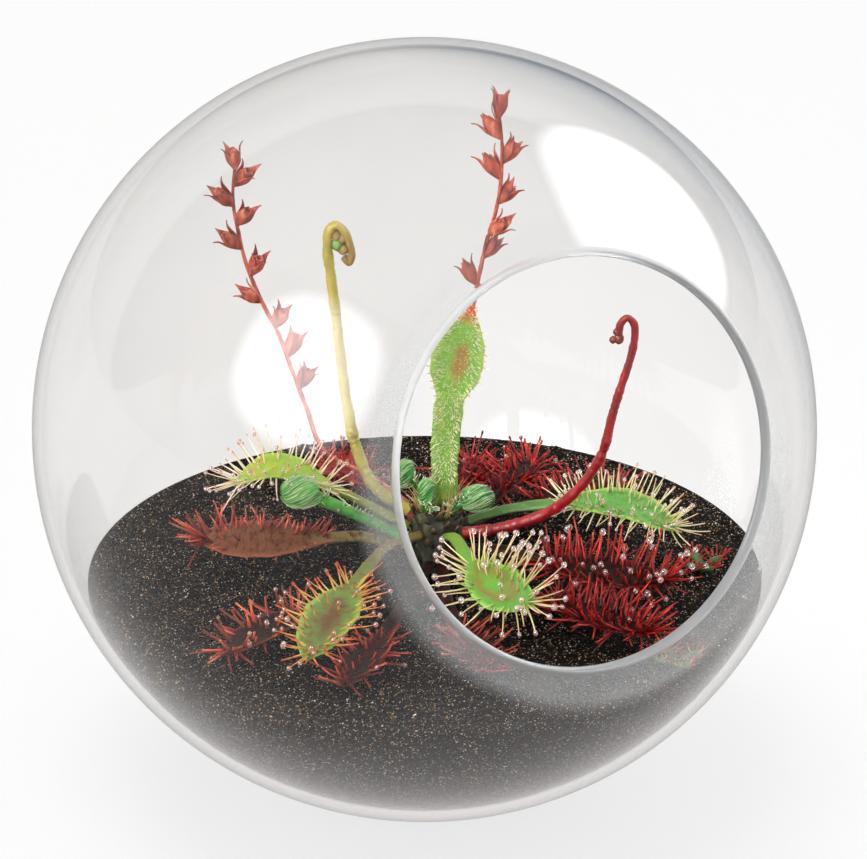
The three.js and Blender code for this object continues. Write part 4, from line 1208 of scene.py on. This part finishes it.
def make_stalk(name, stalk, finishes, slot, seed):
    rng = np.random.default_rng(seed)
    limb = Limb(stalk["path"], (0, 1, 0))
    net = Net()
    rings, sides = 240, 14
    parts = np.linspace(0, 1, rings)
    knots = 1 + 0.06 * np.sin(90 * parts + 2) + 0.05 * rng.normal(size=rings)
    radius = mix(stalk["root"], stalk["tip"], parts) * knots * (DRIED if "pods" in stalk else 1)
    flat = 1 - stalk.get("band", 0) * np.clip((parts - 0.78) / 0.08, 0, 1)
    net.tube(limb.skin(parts, radius * flat, radius * (2 - flat), sides), along=parts[:, None], shade=0.3)
    for place, (part, lean) in enumerate(stalk.get("pods", [])):
        middle, along, _, _ = limb.frames(part)
        depth = 0.5 if place % 2 else -0.5
        way = unit(along[0] + np.array([1, depth, 0]) * 0.75 * lean)
        foot = middle[0] + way * (-0.6 if part == 1 else 0.1)
        add_pod(net, foot, way, rng.uniform(0.95, 1.12), rng)
    for *centre, size, finish in stalk.get("buds", []):
        add_bud(net, centre, size, rng, finish)
    return net.piece(f"{name}_stem", finishes, name)


STALK_FINISHES = {
    "stalk_left_pods": ([DRY_HUSK], "dry_stalk"),
    "stalk_middle_pods": ([DRY_HUSK], "dry_stalk"),
    "stalk_pale": ([PALE_STEM, fresh_stem("pale_bud", "5c8a34", "86ac4c", "6c8c38")], "pale_stalk"),
    "stalk_red": ([RED_STEM, fresh_stem("red_bud", "6a2018", "9a3424", "742a1c")], "red_stalk"),
}
for place, (name, stalk) in enumerate(STALKS.items()):
    made = make_stalk(name, stalk, *STALK_FINISHES[name], 400 + place)
    print(name, "has", len(stalk.get("pods", [])), "pods and", len(made.data.polygons), "faces")

# %% [markdown]
# ## The crown and the seedlings
#
# The leaves spring from a short stem, hidden among papery scales and fine bristles. Two seedlings of
# the same plant have come up near the glass.

# %% The crown
def scale_paper():
    finish = Finish("scale_paper", Roughness=0.75, Subsurface_Weight=0.1, Subsurface_Scale=0.4 * MM)
    fibres = finish.noise(900, detail=5, stretch=(1, 1, 0.25))
    colour = finish.ramp(fibres, [(0.3, "0e0c05"), (0.5, "262810"), (0.7, "4c4420")])
    tip = finish.spread(finish.value("along"), 0.4, 1.0)
    colour = finish.mix(finish.times(tip, 0.5), colour, "8a7048")
    return finish.done(Base_Color=colour, Normal=finish.bump(fibres, 0.2, 0.8))


BRISTLES = pale_hair("crown_bristles", ("b8a860", "e8c890", "e8a880", "e09070"))
CROWN_RADIUS = 4.0
CROWN_TOP = 9.6
CROWN_ROOT = 7.6                        # how deep it goes below the soil's top
SCALES = 34
SCALE_TURN = 2.4                        # from one scale to the next, in radians
BRISTLE_COUNT = 90
BRISTLE_TAPER = np.array([1, 1, 0.85, 0.65, 0.4, 0.12])


def add_stem(net, rng):
    """The CAD crown's grooved stem and tapered root, a little rougher."""
    rows, sides = 60, 72
    share = np.linspace(0, 1, rows)[:, None]
    height = mix(-CROWN_ROOT, CROWN_TOP, share)
    turn = round_ring(sides)
    taper = np.where(height < 0, mix(0.45, 1, 1 + height / CROWN_ROOT), 1)
    groove = np.where(height < 0, 0, 0.175 * (1 - np.cos(9 * turn)))
    bevel = 1 - 0.5 * np.clip((share - 0.9) / 0.1, 0, 1) ** 2
    radius = (CROWN_RADIUS - groove) * taper * bevel * (1 + 0.02 * rng.normal(size=(rows, sides)))
    x = CROWN_PLACE[0] + radius * np.cos(turn)
    y = CROWN_PLACE[1] - radius * np.sin(turn)
    net.tube(np.stack([x, y, np.broadcast_to(height, x.shape)], -1))


def add_scales(net, rng):
    """Papery scales in a spiral, from the top of the stem down."""
    parts = np.linspace(0, 1, 8)
    half = 0.75 * np.sin(math.pi * (0.25 + 0.73 * parts))
    for place in range(SCALES):
        angle = SCALE_TURN * place
        out = np.array([math.cos(angle), math.sin(angle), 0])
        foot = np.array([*CROWN_PLACE, CROWN_TOP - 0.6 - 0.19 * place]) + out * (CROWN_RADIUS - 1.0)
        length = rng.uniform(2.2, 3.6)
        path = [foot, foot + 0.5 * length * unit(out + [0, 0, 1.3]),
                foot + length * unit(out * 0.9 + [0, 0, 1.5])]
        net.tube(Limb(path, (*(-out[:2]), 0.6)).skin(parts, half, 0.09, 8), along=parts[:, None])


def add_bristles(net, rng):
    """Fine hairs that stand up round the top of the stem."""
    count = BRISTLE_COUNT
    angle = rng.uniform(0, 2 * math.pi, count)
    out = np.stack([np.cos(angle), np.sin(angle), 0 * angle], -1)
    foot = np.array([*CROWN_PLACE, CROWN_TOP - 0.5]) + out * rng.uniform(1.2, 3.2, (count, 1))
    way = unit(out * rng.uniform(0.2, 0.9, (count, 1)) + [0, 0, 1.3] + 0.2 * rng.normal(size=(count, 3)))
    steps = np.linspace(0, 1, len(BRISTLE_TAPER))[:, None]
    bend = 0.25 * rng.normal(size=(count, 3))
    length = rng.uniform(2.2, 5.2, (count, 1, 1))
    paths = foot[:, None] + length * (way[:, None] * steps + bend[:, None] * steps ** 2)
    add_threads(net, paths, rng.uniform(0.07, 0.13, (count, 1)) * BRISTLE_TAPER, rng, sides=5)


def make_crown():
    rng = np.random.default_rng(500)
    net = Net()
    add_stem(net, rng)
    add_scales(net, rng)
    add_bristles(net, rng)
    net.piece("crown_scales", [scale_paper(), BRISTLES], "crown")


make_crown()

# %% Seedlings
SEEDLINGS = {
    "seedling_right": dict(
        x=43, y=1.2, length=3.4, skin="2f6f34", reach=2.0, hair=("a02018", "c82a20", "d84030")),
    "seedling_front": dict(
        x=37.5, y=-31.5, length=3.6, skin="3f7f38", reach=2.2, hair=("a8b848", "d8b850", "e09040")),
}
SEEDLING_LEAVES = 4
SEEDLING_HAIRS = 14                     # on each leaf


def make_seedling(name, young, seed):
    rng = np.random.default_rng(seed)
    net = Net()
    x, y, length = young["x"], young["y"], young["length"]
    stem = Limb([[x, y, -1.8], [x, y, 0], [x, y, 1.2]], (1, 0, 0))
    net.tube(stem.skin(np.linspace(0, 1, 10), 0.6, 0.6, 12))
    parts = np.linspace(0, 1, 22)
    half = mix(0.4, 0.95, np.sin(math.pi * parts ** 1.6))
    foot = np.array([x, y, 0.9])
    angle = np.linspace(-2.4, 2.4, SEEDLING_HAIRS)[:, None]
    for place in range(SEEDLING_LEAVES):
        turn = 2 * math.pi * (place + 1) / SEEDLING_LEAVES + 0.4
        ahead = np.array([math.cos(turn), math.sin(turn), 0])
        limb = Limb([foot, foot + ahead * 0.5 * length + [0, 0, 0.6], foot + ahead * length + [0, 0, 1.1]])
        net.tube(limb.skin(parts, half, 0.32, 14), ridge=0.0)
        middle, along, normal, side = limb.frames(0.6 + 0.36 * np.cos(angle[:, 0]))
        root = middle + side * (0.6 * np.sin(angle))
        way = unit(along * np.cos(angle) + side * np.sin(angle)
                   + normal * rng.uniform(0.2, 1.2, (SEEDLING_HAIRS, 1)))
        reach = young["reach"] * rng.uniform(0.7, 1.1, SEEDLING_HAIRS)
        add_tentacles(net, root, way, 0 * way, reach, (0.14, 0.07, 0.17), rng)
    finishes = [young_skin(name, young["skin"]), hair_skin(f"{name}_hairs", young["hair"], "c83420")]
    net.piece(f"{name}_leaves", finishes, name)


for place, (name, young) in enumerate(SEEDLINGS.items()):
    make_seedling(name, young, 600 + place)
print("crown and", len(SEEDLINGS), "seedlings made")

# %% [markdown]
# ## The studio
#
# Glass shows what stands round it, so the room matters more than for any other material. A pale
# floor and a near-white world give the bright ground. Two glowing screens give the two broad white
# reflections of the photograph: they are seen only in gloss, so they are shaped for their
# reflections. One soft lamp, which the glass doesn't show, lights the plants.

# %% Floor and world
FLOOR_REACH = 6000


def flat_sheet(name, half_width, half_height, material):
    """A level rectangle round its own middle."""
    corners = np.array([[-1, -1, 0], [1, -1, 0], [1, 1, 0], [-1, 1, 0]]) * [half_width, half_height, 0]
    mesh = bpy.data.meshes.new(name)
    mesh.from_pydata((corners * MM).tolist(), [], [[0, 1, 2, 3]])
    mesh.materials.append(material)
    return bpy.data.objects.new(name, mesh)


def make_floor():
    """Paper that glows a little by itself, as an evenly lit backdrop does."""
    finish = Finish("floor_paper", Roughness=0.9, Specular_IOR_Level=0.1, Emission_Strength=0.77,
                    Emission_Color=(1, 1, 1))
    cloud = finish.spread(finish.noise(3, detail=2), 0.3, 0.7)
    paper = finish.done(Base_Color=finish.mix(cloud, "828282", "808080"))
    floor = flat_sheet("floor", FLOOR_REACH, FLOOR_REACH, paper)
    bpy.context.scene.collection.objects.link(floor)
    floor.visible_glossy = False


def studio_way(right, up, near):
    """A direction given as the camera sees it: to its right, up, and towards it."""
    camera_up = towards_viewer.cross(towards_right)
    return (right * towards_right + up * camera_up + near * towards_viewer).normalized()


def make_world():
    """A pale room. Two dim sides draw the glass: blue-grey behind on the right, and dark low on the
    left, where a white reflection would veil the black soil. It is brightest from below."""
    world = bpy.data.worlds.new("studio")
    world.use_nodes = True
    room = Recipe(world.node_tree)
    where = room.node("ShaderNodeTexCoord", {}, "Generated")
    sides = []
    for way, *stops in [
            (studio_way(0.45, 0.45, -0.77), (0.84, (1, 1, 1)), (0.99, (0.22, 0.32, 0.44))),
            (studio_way(-0.75, -0.5, 0.3), (0.4, (1, 1, 1)), (0.85, (0.2, 0.17, 0.16))),
            (studio_way(0.1, -0.9, -0.45), (0.45, (0.52, 0.51, 0.5)), (0.95, (0.92, 0.86, 0.84)))]:
        lean = room.node("ShaderNodeVectorMath", {}, "Value", operation="DOT_PRODUCT")
        room.feed(lean.node, {0: where, 1: way})
        sides.append(room.ramp(lean, stops))
    colour = room.mix(1, room.mix(1, sides[0], sides[1], "MULTIPLY"), sides[2], "MULTIPLY")
    room.feed(room.tree.nodes["Background"], {"Color": colour})
    bpy.context.scene.world = world


make_floor()
make_world()
bpy.context.scene.view_settings.view_transform = "Standard"
print("floor and room made")


# %% Soft lights
SCREEN_CORNER = 2.4                     # 2 is an oval, and a higher number has squarer corners


def face_globe(thing, way, distance):
    """Stands a light off the globe, along a way, and turns it to face the globe."""
    thing.location = (Vector((0, 0, AIM_HEIGHT)) + distance * way) * MM
    thing.rotation_euler = way.to_track_quat("Z", "Y").to_euler()
    bpy.context.scene.collection.objects.link(thing)


def key_light(name, way, distance, size, radiance):
    """A square light for the plants alone: it is not seen in the glass."""
    data = bpy.data.lights.new(name, "AREA")
    data.size = size * MM
    data.energy = radiance * math.pi * data.size ** 2
    light = bpy.data.objects.new(name, data)
    light.visible_glossy = light.visible_transmission = False
    face_globe(light, way, distance)


def glowing_screen(name, way, distance, size, radiance, fade, through):
    """A screen that is seen only in gloss. It glows less towards its edges, over the fade.

    Through says whether the wet things inside see it through the glass."""
    finish = Finish(name, Base_Color=(0, 0, 0), Specular_IOR_Level=0.0)
    where = finish.node("ShaderNodeTexCoord", {}, "Object")
    far = []
    for axis, edge in zip(finish.node("ShaderNodeSeparateXYZ", {0: where}, None), size):
        share = finish.maths("ABSOLUTE", finish.maths("DIVIDE", axis, edge / 2 * MM))
        far.append(finish.maths("POWER", share, SCREEN_CORNER))
    glow = finish.times(finish.spread(finish.plus(*far), 1.0, 1.0 - fade), radiance)
    glowing = finish.done(Emission_Color=(1, 1, 1), Emission_Strength=glow)
    screen = flat_sheet(name, size[0] / 2, size[1] / 2, glowing)
    face_globe(screen, way, distance)
    screen.visible_camera = screen.visible_diffuse = screen.visible_shadow = False
    screen.visible_transmission = through


key_light("key", studio_way(-0.2, 0.9, 0.3), 1000, 700, 3.2)
glowing_screen("window_left", studio_way(-0.55, 0.27, 0.8), 900, (800, 760), 14, 0.92, True)
glowing_screen("window_right", studio_way(0.73, 0.68, -0.09), 900, (960, 820), 13, 0.55, False)
